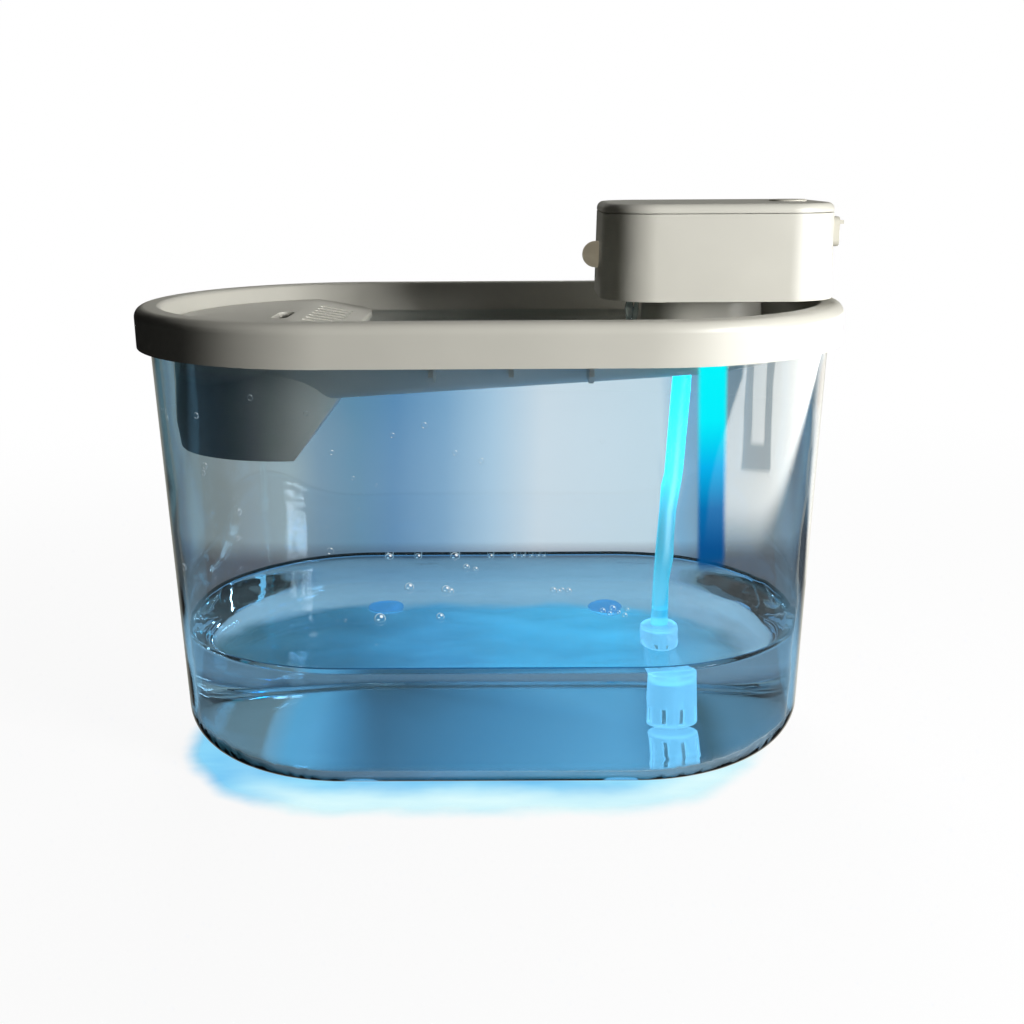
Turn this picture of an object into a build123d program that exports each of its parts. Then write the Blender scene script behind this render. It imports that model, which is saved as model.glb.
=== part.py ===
from build123d import *
import os
from math import acos, atan, cos, pi, radians, sin, sqrt, tan

# Pet water fountain with a battery head. Millimetres, +Z up, +X towards the head,
# the drinking side faces -Y. The origin is on the table, under the middle of the rim.

# ---------------------------------------------------------------- overall sizes
RIM_LENGTH = 250.0          # tray rim, end to end
RIM_DEPTH = 149.0           # tray rim, front to back
FOOT_HEIGHT = 2.0           # tank bottom above the table
TANK_HEIGHT = 158.5         # tank bottom to its top edge
HEAD_LENGTH = 80.0
HEAD_DEPTH = 64.0
HEAD_HEIGHT = 31.8

# ---------------------------------------------------------------- fits and gaps
LIFT_GAP = 0.3              # between a piece that lifts off and its seat
SIDE_GAP = 0.5              # sideways play of a piece that lifts out
FIT_GAP = 0.1               # between pieces fixed in one body
RUN_GAP = 0.05              # radial play of a turning shaft
SEAM = 0.3                  # open line between the head's shell and cap
SAME = 0.01                 # two heights closer than this are one
CUT = 1.0                   # how far a cutting shape runs past the face it cuts

# ---------------------------------------------------------------- tank
TANK_WALL = 2.5
TANK_FLOOR = 3.0
TANK_LEAN = 1.6             # degrees, the walls lean out towards the top
TANK_CORNER = 13.0          # outer radius round the bottom edge
LIP_WIDTH = 1.8             # bead outside the top edge
LIP_HEIGHT = 4.0
LIP_CHAMFER = 1.44          # under the bead
FOOT_RADIUS = 7.0
FOOT_X = 46.0
FOOT_Y = 45.0
FOOT_SEAT = 1.0             # depth of the pad's recess in the tank floor
FOOT_DISH = 0.6             # depth of the pad's hollow face
FOOT_DISH_RADIUS = 3.85
FOOT_EDGE = 0.6             # chamfer round the pad

# ---------------------------------------------------------------- tray
SKIRT_HEIGHT = 13.8
SKIRT_WALL = 2.0
RIM_PLATE = 3.0             # thickness of the rim over the tank's edge
RIM_TOP_WIDTH = 9.0         # flat and rounded top of the rim
RIM_OUTER_ROUND = 3.6
RIM_INNER_ROUND = 2.4
BOWL_WALL = 2.4
BOWL_DEPTH = 22.8           # rim crest to bowl floor, at the middle
BOWL_SIDE_RUN = 21.5        # how far the long sides lean in
BOWL_END_RUN = 9.0          # how far the ends lean in
BOWL_SLOPE = 4.06           # degrees, the floor falls towards the filter
BOWL_FLOOR_ROUND = 7.0
FALL_MARGIN = 1.1           # the dish's form starts this share of the fall below its floor
RIB_THICKNESS = 1.6
RIB_PITCH = 25.0
RIB_FIRST_X = -17.0
RIB_COUNT = 3
RIB_DROP = 17.0             # rib's lower corner below the rim plate
RIB_SINK = 1.0              # rib's top below the rim crest, inside the rim plate
RIB_GAP = 0.9               # rib to the tank's wall
RIB_CORNER = (3.0, 2.5)     # the rib's cut corner, across and up
RIB_ROOT = 6.0              # how far the rib runs under the bowl's side

# ---------------------------------------------------------------- filter pocket
POCKET_WALL = 2.0
POCKET_LENGTH = 61.2        # at the weir
POCKET_DEPTH = 100.0
POCKET_DROP = 47.8          # rim crest to the pocket's outer bottom
POCKET_SLOPE_RUN = 14.0     # the right wall leans in by this much
POCKET_SLOPE_RISE = 19.0
POCKET_SLOPE_LIFT = 0.6     # the inner knee is higher by this share of the wall
POCKET_END_ROUND = 42.0
POCKET_INNER_ROUND = 18.0
OUTLINE_RUN = 0.5           # least straight run between the pocket's corners
POCKET_END_GAP = 4.8        # pocket's end inside the bowl's opening
WEIR_DROP = 11.3            # rim crest to the weir's top
COLLAR_DROP = 12.0          # bowl floor to where the pocket's own wall starts again
DRAIN_HOLE = 2.2            # radius
DRAIN_PITCH = 11.0
DRAIN_FIRST = 12.0          # pocket's end to the first column of holes
DRAIN_COLUMNS = 4
DRAIN_ROWS = 7

# ---------------------------------------------------------------- filter
COVER_PLATE = 2.0
COVER_DROP = 5.5            # rim crest to the cover's top
COVER_GAP = 1.5             # cover's edge to the bowl's wall
COVER_OVERHANG = 2.0        # cover's edge past the weir
COVER_RAMP_RUN = 22.0
COVER_RAMP_FALL = 4.0
COVER_CORNER = 9.0
FINGER_SLOT_LENGTH = 20.0
FINGER_SLOT_WIDTH = 6.0
FINGER_SLOT_FROM_RAMP = 4.5
COVER_SLOT_WIDTH = 2.6
COVER_SLOT_LENGTH = 13.0
COVER_SLOT_PITCH = 7.0
COVER_SLOT_COUNT = 11
COVER_SLOT_SHIFT = 1.0      # the slots' middle, towards the ramp's top
TAB_LENGTH = 7.0            # the cover's feet on the pocket's wall
TAB_FROM_MIDDLE = (-5.0, 14.0)
TAB_REACH = 5.0             # below the weir's top
TAB_SKIN = 0.4              # how far the feet start inside the plate
COVER_GUIDE = 3.0           # how far the guides reach into the pocket
COVER_GUIDE_WALL = 1.4
COVER_FORM_DROP = 8.0       # below the weir, where the cover's form starts
CARTRIDGE_HEIGHT = 16.0
CARTRIDGE_WALL = 1.4
CARTRIDGE_FEET = 1.5        # the frame stands clear of the drain holes
CARTRIDGE_FOOT = (4.0, 2.0) # each foot, along X and Y
CARTRIDGE_FOOT_X = 10.0     # from the frame's middle
CARTRIDGE_FOOT_SINK = 1.0   # how far the feet reach up into the bars
CARTRIDGE_PLAY = 1.2        # round the frame, in the pocket
CARTRIDGE_INNER_ROUND = 7.0
CARTRIDGE_GRID = 1.2        # thickness of the bars above and below the medium
CARTRIDGE_BAR = 2.0
CARTRIDGE_BARS = 5

# ---------------------------------------------------------------- pedestal
PEDESTAL_LENGTH = 42.0
PEDESTAL_DEPTH = 32.0
PEDESTAL_RISE = 4.2         # its top above the rim crest
PEDESTAL_WALL = 1.6
WELL_RIM = 1.8              # pedestal's end to the well
PEDESTAL_DRAFT = 3.0        # degrees
PEDESTAL_SINK = 4.0         # how far its form starts below the bowl's floor
PEDESTAL_ROOF = 2.2         # thickness of its top
PEDESTAL_FROM_HEAD = 23.4   # its end nearest the drinking area, from the head's middle
WELL_LENGTH = 20.0          # passes the hose and the strainer
WELL_DEPTH = 16.4
LIGHT_WINDOW = 4.5          # radius
LIGHT_LENS = 3.3            # radius
LIGHT_LENS_EDGE = 0.4
LED_SIZE = (3.5, 2.8, 0.8)
LED_GAP = 0.05              # over its lens
LIGHT_FROM_HEAD = 7.5

# ---------------------------------------------------------------- head
HEAD_FROM_END = 46.5        # its middle, from the rim's end
HEAD_WALL = 2.0
HEAD_CORNER = 18.0
HEAD_DRAFT = 0.022          # inward lean, mm per mm of height
HEAD_FLOAT = 1.6            # shell's lower edge above the rim crest
CAP_HEIGHT = 3.0
CAP_ROUND = 2.3
CAP_LIP = 3.0               # the cap's ring inside the shell
CAP_LIP_WALL = 1.4
CAP_LIP_ROOT = 0.5          # how far the ring reaches up into the cap
CAP_HOLLOW = 0.6            # the cap's hollow inside the shell's inner wall
BASE_INSET = 1.2            # base plate above the shell's lower edge
BASE_PLATE = 2.0
SOCKET_WALL = 1.6
SOCKET_ROOF = 1.8
GASKET = 1.0
GASKET_BACK = 0.4           # the gasket is narrower than its ledge
LEDGE = 2.2                 # width of the shell's inner ledge over the gasket
LEDGE_HEIGHT = 1.6
LEDGE_ROOT = 0.2            # how far the ledge starts inside the wall
BOSS_ROOT = 0.5             # wall left outside the screw posts
BOSS_RADIUS = 3.2
BOSS_INSET = 6.5            # boss centre from the shell's corner tangents
BOSS_HEIGHT = 11.0
SCREW_RADIUS = 1.25
SCREW_CLEAR = 0.2           # round a screw's shank or head in a loose hole
SCREW_SINK = 0.1            # a sunk head below the face round it
SCREW_SLOT = 0.6            # depth of the driver's recess
SCREW_SLOT_SHARE = 0.35     # its radius, of the head's
BASE_SCREW_BITE = 6.0       # into the shell's posts
BOARD_SCREW_BITE = 5.0
SCREW_HEAD_RADIUS = 2.3
SCREW_HEAD = 1.3
BOARD_SCREW_HEAD = 1.9      # radius

# ---------------------------------------------------------------- button and port
BUTTON_FROM_HEAD = 26.8
BUTTON_RADIUS = 6.5
BUTTON_PROUD = 0.6
BUTTON_FLANGE = 1.3
BUTTON_GAP = 0.3
BUTTON_TRAVEL = 0.6
BUTTON_STEM = 2.0           # radius
BUTTON_SKIRT = 0.6          # how far the cap of the button reaches down past its flange's top
BUTTON_FLANGE_HEIGHT = 0.8
BUTTON_FLANGE_GAP = 0.2     # under the cap
BUTTON_EDGE = 0.4
STEM_GAP = 0.2              # over the switch, with the button pressed
PORT_Y = -8.0
PORT_Z_FROM_TOP = 10.0
PORT_WIDTH = 10.8
PORT_HEIGHT = 4.8
PORT_COVER_WIDTH = 12.0
PORT_COVER_HEIGHT = 10.0
PORT_COVER_THICKNESS = 2.5
PORT_COVER_CORNER = 2.4
PORT_COVER_DISH = 0.9       # depth of its hollow face
DISH_RADIUS = 30.0
PULL_TAB = (2.4, 2.4, 1.2)  # the finger tab, along X, Y and Z
PULL_TAB_INSET = (1.6, 1.8) # from the cover's edges, along Y and Z
PORT_PLUG_SHORT = 0.4       # the cover's plug ends this far before the shell's inner wall
PORT_PLUG_PLAY = (1.4, 1.2) # the plug is smaller than the port, across and up
PORT_PLUG_ROOT = 0.5
KNUCKLE_ARM = (1.0, 2.0)    # thickness and length
HINGE_RADIUS = 0.8
ANCHOR_RADIUS = 1.2         # the cover's fixed tail, pushed into the shell's wall
ANCHOR_OFF = 0.8            # its plug's edge to the knuckle
ANCHOR_HEAD = 0.8           # thickness of its barbed head
ANCHOR_CORNER = 0.9
ANCHOR_BARB = 0.5
ANCHOR_TAIL = 2.0           # from its middle to its end
HINGE_HALF = 3.0            # half the knuckle's height
USB_WIDTH = 9.0
USB_HEIGHT = 3.2
USB_LENGTH = 7.0
USB_WALL = 0.3
USB_BACK = 0.6
USB_GAP = 0.2               # its mouth inside the shell's inner wall
USB_TONGUE = (6.6, 0.7)     # width and thickness
USB_TONGUE_INSET = (0.3, 0.8)   # from the socket's back and mouth

# ---------------------------------------------------------------- sensor
SENSOR_Z = 179.2
SENSOR_RADIUS = 4.6
SENSOR_PROUD = 5.6
SENSOR_FLANGE = 1.0
SENSOR_FLANGE_RADIUS = 5.8
SENSOR_LENS_WALL = 1.2
SENSOR_TIP_FLAT = 0.4       # radius of the flat on the dome's tip
SENSOR_CAN_RADIUS = 4.0
SENSOR_CAN = 2.4
SENSOR_BOARD = 1.0
SENSOR_BOARD_SIZE = 12.0
SENSOR_BOARD_CORNER = 1.0
SENSOR_CAN_EDGE = 0.5
SENSOR_RAIL = (2.6, 2.8)    # each grooved rail that holds its board, along X and Y
RAIL_ROOT = 0.5             # how far the rails start inside the base plate

# ---------------------------------------------------------------- pump
PUMP_FROM_HEAD = 17.0       # the gears' axes, towards the drinking area
GEAR_TEETH = 14
GEAR_MODULE = 0.9
GEAR_HEIGHT = 6.6
GEAR_ADDENDUM = 0.85        # of the module
GEAR_DEDENDUM = 1.2         # of the module
GEAR_PRESSURE = radians(25)
GEAR_BACKLASH = 0.24        # taken off each tooth, on the pitch circle
GEAR_ROOT_RUN = 0.02        # where the flank starts, above the base circle
GEAR_END_GAP = 0.3
TIP_GAP = 0.25
SHAFT_RADIUS = 1.0
IDLER_RADIUS = 1.5
PUMP_PLATE = 2.0
PUMP_GASKET = 0.8
PUMP_END = 3.6              # its housing past the inlet's and the outlet's axis
PUMP_CORNER = 5.0
PUMP_SCREW_INSET = (3.2, 3.0)
PUMP_SCREW_RADIUS = 1.0
PUMP_SCREW_HEAD = (2.0, 1.1)    # radius and height
PUMP_SCREW_CLEAR = 0.1
PUMP_SCREW_BITE = 6.5       # into the housing
PUMP_SCREW_HOLE = 7.0
PRESS_GAP = 0.02            # round a pressed-in pin or tube, so that faces don't share a surface
GEAR_BORE_GAP = 0.01
IDLER_SEAT = (1.2, 2.0)     # how far its pin enters the plate and the housing
CHANNEL_DROP = 1.0          # the channels are lower than the gear chamber
PUMP_DEPTH = 31.0
PUMP_ROOF = 3.0
PORT_CHANNEL = 4.6
SEAL_RADIUS = 3.0
SEAL_HEIGHT = 1.4
MOTOR_RADIUS = 12.0
MOTOR_HEIGHT = 10.6
MOTOR_BEARING = 3.0         # how far the shaft reaches into the can
MOTOR_END_GAP = 0.3         # over the shaft's end
MOTOR_ROUND = 1.5
INLET_FROM_HEAD = 7.5
OUTLET_FROM_HEAD = 28.3
NIPPLE_RADIUS = 2.2
NIPPLE_BORE = 1.4
NIPPLE_LENGTH = 10.0
NOZZLE_RADIUS = 2.4
NOZZLE_BORE = 1.6
NOZZLE_RISE = 0.2           # its tip above the shell's lower edge
NOZZLE_EDGE = 0.4

# ---------------------------------------------------------------- battery and board
BATTERY_LENGTH = 33.0
BATTERY_DEPTH = 36.0
BATTERY_HEIGHT = 9.5
BATTERY_FROM_WALL = 20.5    # its middle, from the shell's inner end wall
BATTERY_ROUND = 1.5
CRADLE_PLAY = 0.3
CRADLE_GAP = 0.2            # over the socket's roof
CRADLE_POST = 5.0           # width of the posts under the board
BATTERY_CORNER = 4.0
CRADLE_WALL = 1.2
CRADLE_HEIGHT = 6.5
BOARD_THICKNESS = 1.6
BOARD_INSET = 1.3           # the board's edge to the shell's wall
BOARD_LENGTH = 37.0
BOARD_DEPTH = 52.0
BOARD_CORNER = 13.0
SWITCH_SIZE = 6.0
SWITCH_HEIGHT = 3.4
SWITCH_STEM = 1.7           # radius
SWITCH_STEM_HEIGHT = 1.4
SWITCH_CORNER = 0.6

# ---------------------------------------------------------------- hose and strainer
HOSE_RADIUS = 3.4
HOSE_BORE = 2.25
ROUTE_SHARE = 0.45          # of the shorter run, taken up by a corner's arc
HOSE_ROUTE = [
    (71.0, 0.0, 167.6),
    (71.0, 0.0, 146.0),
    (69.4, 0.4, 120.0),
    (66.9, 0.5, 92.0),
    (65.0, 0.3, 64.0),
    (64.3, 0.0, 44.0),
    (64.3, 0.0, 28.0),
]
STRAINER_RADIUS = 7.0
STRAINER_HEIGHT = 18.5
STRAINER_WALL = 1.2
STRAINER_CAP = 3.0
STRAINER_NIPPLE = 6.0
STRAINER_CAP_ROUND = 1.2
STRAINER_CUP_ROUND = 1.0
STRAINER_PLUG = 1.5         # how far the cap reaches into the cup
STRAINER_PLUG_ROOT = 0.5
STRAINER_SLOT_RISE = 0.5    # the slots' lower ends above the cup's floor
SPONGE_GAP = 0.1            # under the cap's plug
STRAINER_SLOTS = 8
STRAINER_SLOT_HEIGHT = 6.0
STRAINER_SLOT_WIDTH = 1.6

# ---------------------------------------------------------------- heights and places
tank_bottom = FOOT_HEIGHT
tank_top = tank_bottom + TANK_HEIGHT
rim_under = tank_top + LIFT_GAP
crest = rim_under + RIM_PLATE
skirt_bottom = crest - SKIRT_HEIGHT
pocket_bottom = crest - POCKET_DROP
weir_top = crest - WEIR_DROP
cover_top = crest - COVER_DROP
pedestal_top = crest + PEDESTAL_RISE
head_bottom = crest + HEAD_FLOAT
head_top = head_bottom + HEAD_HEIGHT
cap_bottom = head_top - CAP_HEIGHT
base_bottom = head_bottom + BASE_INSET
base_top = base_bottom + BASE_PLATE
socket_roof = pedestal_top + LIFT_GAP
socket_top = socket_roof + SOCKET_ROOF
ledge_bottom = base_top + GASKET
ledge_top = ledge_bottom + LEDGE_HEIGHT
boss_bottom = ledge_bottom

head_x = RIM_LENGTH / 2 - HEAD_FROM_END
pedestal_tip_x = head_x - PEDESTAL_FROM_HEAD
light_x = head_x + LIGHT_FROM_HEAD
button_x = head_x + BUTTON_FROM_HEAD
gear_x = head_x - PUMP_FROM_HEAD
inlet_x = head_x - INLET_FROM_HEAD
outlet_x = head_x - OUTLET_FROM_HEAD
battery_x = head_x + HEAD_LENGTH / 2 - HEAD_WALL - BATTERY_FROM_WALL

lip_half_length = RIM_LENGTH / 2 - SKIRT_WALL - SIDE_GAP
lip_half_depth = RIM_DEPTH / 2 - SKIRT_WALL - SIDE_GAP
tank_half_length = lip_half_length - LIP_WIDTH      # at the top edge
tank_half_depth = lip_half_depth - LIP_WIDTH
bowl_half_length = RIM_LENGTH / 2 - RIM_TOP_WIDTH   # at the rim crest
bowl_half_depth = RIM_DEPTH / 2 - RIM_TOP_WIDTH

floor_level = crest - BOWL_DEPTH                     # bowl floor at x = 0
floor_plane = Plane(
    origin=(0, 0, floor_level),
    x_dir=(cos(radians(BOWL_SLOPE)), 0, sin(radians(BOWL_SLOPE))),
    z_dir=(-sin(radians(BOWL_SLOPE)), 0, cos(radians(BOWL_SLOPE))),
)

pocket_left = -(bowl_half_length - POCKET_END_GAP)
pocket_right = pocket_left + POCKET_LENGTH
pocket_x = (pocket_left + pocket_right) / 2
pedestal_x = pedestal_tip_x + PEDESTAL_LENGTH / 2
well_x = pedestal_tip_x + WELL_RIM + WELL_LENGTH / 2
cover_right = pocket_right + COVER_OVERHANG

gear_pitch_radius = GEAR_MODULE * GEAR_TEETH / 2
drive_y = -gear_pitch_radius
driven_y = gear_pitch_radius
pump_bottom = socket_top + LIFT_GAP
pump_plate_top = pump_bottom + PUMP_PLATE
pump_body_bottom = pump_plate_top + PUMP_GASKET
chamber_top = pump_plate_top + GEAR_HEIGHT + 2 * GEAR_END_GAP
pump_top = chamber_top + PUMP_ROOF
gear_bottom = pump_plate_top + GEAR_END_GAP
motor_bottom = pump_top
idler_bottom = pump_plate_top - IDLER_SEAT[0]
idler_top = chamber_top + IDLER_SEAT[1]
chamber_radius = gear_pitch_radius + GEAR_ADDENDUM * GEAR_MODULE + TIP_GAP

port_z = head_top - PORT_Z_FROM_TOP
port_plug = HEAD_WALL - PORT_PLUG_SHORT
hinge_y = PORT_Y + PORT_COVER_WIDTH / 2 + HINGE_RADIUS
anchor_y = hinge_y + HINGE_RADIUS + ANCHOR_RADIUS + ANCHOR_OFF
board_top = port_z - USB_HEIGHT / 2
board_bottom = board_top - BOARD_THICKNESS
cradle_bottom = socket_top + CRADLE_GAP
battery_bottom = cradle_bottom + CRADLE_WALL

strainer_x, strainer_y, strainer_cap_top = HOSE_ROUTE[-1]
strainer_cup_top = strainer_cap_top - STRAINER_CAP
strainer_bottom = strainer_cup_top - STRAINER_HEIGHT

boss_places = [
    (head_x + sx * (HEAD_LENGTH / 2 - HEAD_WALL - BOSS_INSET),
     sy * (HEAD_DEPTH / 2 - HEAD_WALL - BOSS_INSET))
    for sx in (-1, 1) for sy in (-1, 1)
]
board_bosses = [place for place in boss_places if place[0] > head_x]


# ---------------------------------------------------------------- shared shapes
def stadium(half_length, half_depth, z):
    """A face with round ends, flat at height z."""
    return Pos(0, 0, z) * SlotOverall(2 * half_length, 2 * half_depth)


def block(x0, x1, y0, y1, z0, z1):
    """A plain box between two corners, used for cuts."""
    middle = Pos((x0 + x1) / 2, (y0 + y1) / 2, (z0 + z1) / 2)
    return middle * Box(x1 - x0, y1 - y0, z1 - z0)


def post(x, y, z0, z1, radius):
    """An upright cylinder from z0 to z1."""
    return Pos(x, y, (z0 + z1) / 2) * Cylinder(radius, z1 - z0)


def tube(x, y, z0, z1, radius, bore):
    """An upright tube from z0 to z1."""
    return post(x, y, z0, z1, radius) - post(x, y, z0, z1, bore)


def tilt_half_space(offset, side):
    """A large block on one side of the bowl's floor plane, shifted by offset."""
    reach = 2 * RIM_LENGTH
    shift = offset + side * reach / 2
    return floor_plane * Pos(0, 0, shift) * Box(reach, reach, reach)


# ---------------------------------------------------------------- tank and feet
def tank_form(inset, bottom, corner):
    """The tank's tapered stadium body, inset from its outer wall."""
    top = stadium(tank_half_length - inset, tank_half_depth - inset, tank_top)
    body = extrude(top, bottom - tank_top, taper=TANK_LEAN)
    return fillet(body.faces().sort_by(Axis.Z)[0].edges(), corner)


def make_tank():
    outer = tank_form(0, tank_bottom, TANK_CORNER)
    inner = tank_form(TANK_WALL, tank_bottom + TANK_FLOOR, TANK_CORNER - TANK_WALL)
    lip = extrude(stadium(lip_half_length, lip_half_depth, tank_top - LIP_HEIGHT), LIP_HEIGHT)
    lip = chamfer(lip.faces().sort_by(Axis.Z)[0].edges(), LIP_CHAMFER)
    body = outer + lip - inner
    for x, y in foot_places.values():
        body -= post(x, y, tank_bottom - CUT, tank_bottom + FOOT_SEAT, FOOT_RADIUS + FIT_GAP)
    return body


foot_places = {
    "foot_front_left": (-FOOT_X, -FOOT_Y),
    "foot_front_right": (FOOT_X, -FOOT_Y),
    "foot_back_left": (-FOOT_X, FOOT_Y),
    "foot_back_right": (FOOT_X, FOOT_Y),
}


def make_foot(x, y):
    pad = post(x, y, 0, tank_bottom + FOOT_SEAT, FOOT_RADIUS)
    pad -= post(x, y, -CUT, FOOT_DISH, FOOT_DISH_RADIUS)
    return chamfer(pad.faces().sort_by(Axis.Z)[0].outer_wire().edges(), FOOT_EDGE)


# ---------------------------------------------------------------- tray
def bowl_opening(z, wall=0.0):
    """Half length and half depth of the dish at height z, grown by the wall square to its sides."""
    depth = crest - z
    end_lean = BOWL_END_RUN / BOWL_DEPTH
    side_lean = BOWL_SIDE_RUN / BOWL_DEPTH
    half_length = bowl_half_length - depth * end_lean + wall / cos(atan(end_lean))
    half_depth = bowl_half_depth - depth * side_lean + wall / cos(atan(side_lean))
    return half_length, half_depth


def bowl_form(wall):
    """The dish from the rim crest to the sloping floor, grown or shrunk by the wall."""
    fall = bowl_half_length * tan(radians(BOWL_SLOPE))
    low_z = floor_level - wall - FALL_MARGIN * fall
    low = stadium(*bowl_opening(low_z, wall), low_z)
    top = stadium(*bowl_opening(crest, wall), crest)
    body = loft([low, top], ruled=True) - tilt_half_space(-wall, -1)
    return fillet(body.faces().sort_by(Axis.Z)[0].edges(), BOWL_FLOOR_ROUND + wall)


def d_outline(left, right, half_depth, end_round, inner_round):
    """A plan with a wide round end on the left, as the length allows, and smaller corners."""
    end_round = min(end_round, right - left - inner_round - OUTLINE_RUN, half_depth - OUTLINE_RUN)
    end_y = half_depth - end_round
    inner_y = half_depth - inner_round
    end_x = left + end_round
    inner_x = right - inner_round
    return make_face([
        Line((left, end_y), (left, -end_y)),
        CenterArc((end_x, -end_y), end_round, 180, 90),
        Line((end_x, -half_depth), (inner_x, -half_depth)),
        CenterArc((inner_x, -inner_y), inner_round, 270, 90),
        Line((right, -inner_y), (right, inner_y)),
        CenterArc((inner_x, inner_y), inner_round, 0, 90),
        Line((inner_x, half_depth), (end_x, half_depth)),
        CenterArc((end_x, end_y), end_round, 90, 90),
    ])


def pocket_outline(inset):
    """The filter pocket's plan."""
    return d_outline(pocket_left + inset, pocket_right - inset, POCKET_DEPTH / 2 - inset,
                     POCKET_END_ROUND - inset, POCKET_INNER_ROUND - inset)


def pocket_form(inset):
    """The pocket from its bottom to the weir, with the leaning wall towards the bowl."""
    bottom = pocket_bottom + inset
    body = extrude(Pos(0, 0, bottom) * pocket_outline(inset), weir_top - bottom)
    foot_x = pocket_right - POCKET_SLOPE_RUN - inset
    knee_z = pocket_bottom + POCKET_SLOPE_RISE
    lift = inset * POCKET_SLOPE_LIFT
    wedge = Polyline(
        (foot_x, pocket_bottom - CUT),
        (pocket_right + CUT, pocket_bottom - CUT),
        (pocket_right + CUT, knee_z + lift),
        (pocket_right - inset, knee_z + lift),
        (foot_x, bottom),
        close=True,
    )
    lean = extrude(Plane.XZ * make_face(wedge), POCKET_DEPTH, both=True)
    return body - lean


def rib(x, side):
    """An upright gusset between the bowl and the tank's wall, shorter where the wall turns in."""
    past = max(0, abs(x) + RIB_THICKNESS / 2 - (tank_half_length - tank_half_depth))
    inner = tank_half_depth - TANK_WALL - RIB_GAP
    reach = side * sqrt(inner ** 2 - past ** 2)
    root = side * (bowl_half_depth - BOWL_SIDE_RUN + RIB_ROOT)
    top = crest - RIB_SINK
    low = rim_under - RIB_DROP
    across, up = RIB_CORNER
    line = Polyline((reach, top), (reach, low + up), (reach - side * across, low),
                    (root, low), (root, top), close=True)
    plate = extrude(Plane.YZ * make_face(line), RIB_THICKNESS / 2, both=True)
    return Pos(x, 0, 0) * plate


def pedestal_form(inset, top):
    """The stand for the head, drafted, down to below the bowl's floor."""
    plan = SlotOverall(PEDESTAL_LENGTH - 2 * inset, PEDESTAL_DEPTH - 2 * inset)
    low = floor_level - BOWL_WALL - PEDESTAL_SINK
    face = Pos(pedestal_x, 0, top) * plan
    return extrude(face, -(top - low), taper=-PEDESTAL_DRAFT)


def at_crest(edge):
    """True for a level edge at the rim crest."""
    return abs(edge.center().Z - crest) < SAME and edge.bounding_box().size.Z < SAME


def make_tray():
    rim = extrude(stadium(RIM_LENGTH / 2, RIM_DEPTH / 2, skirt_bottom), SKIRT_HEIGHT)
    rim = fillet(rim.faces().sort_by(Axis.Z)[-1].edges(), RIM_OUTER_ROUND)
    hollow = stadium(RIM_LENGTH / 2 - SKIRT_WALL, RIM_DEPTH / 2 - SKIRT_WALL, skirt_bottom)
    tray = rim - extrude(hollow, rim_under - skirt_bottom)
    tray += bowl_form(BOWL_WALL)
    tray += pocket_form(0)
    for i in range(RIB_COUNT):
        for side in (-1, 1):
            tray += rib(RIB_FIRST_X + i * RIB_PITCH, side)
    tray -= bowl_form(0)
    brim = tray.edges().filter_by(at_crest).filter_by(lambda e: abs(e.center().Y) < bowl_half_depth + SAME)
    tray = fillet(brim, RIM_INNER_ROUND)
    collar_bottom = floor_level - COLLAR_DROP
    collar = pocket_form(0) - block(-RIM_LENGTH, RIM_LENGTH, -RIM_DEPTH, RIM_DEPTH, 0, collar_bottom)
    tray += collar
    tray -= pocket_form(POCKET_WALL)
    tray += pedestal_form(0, pedestal_top) - tilt_half_space(-BOWL_WALL / 2, -1)
    tray -= pedestal_form(PEDESTAL_WALL, pedestal_top - PEDESTAL_ROOF)
    roof_under = pedestal_top - PEDESTAL_ROOF - CUT
    well = Pos(well_x, 0, roof_under) * SlotOverall(WELL_LENGTH, WELL_DEPTH)
    tray -= extrude(well, PEDESTAL_ROOF + 2 * CUT)
    tray -= post(light_x, 0, roof_under, pedestal_top + CUT, LIGHT_WINDOW)
    for i in range(DRAIN_COLUMNS):
        for j in range(DRAIN_ROWS):
            x = pocket_left + DRAIN_FIRST + i * DRAIN_PITCH
            y = (j - (DRAIN_ROWS - 1) / 2) * DRAIN_PITCH
            tray -= post(x, y, pocket_bottom - CUT, pocket_bottom + POCKET_WALL + CUT, DRAIN_HOLE)
    return tray


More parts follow.
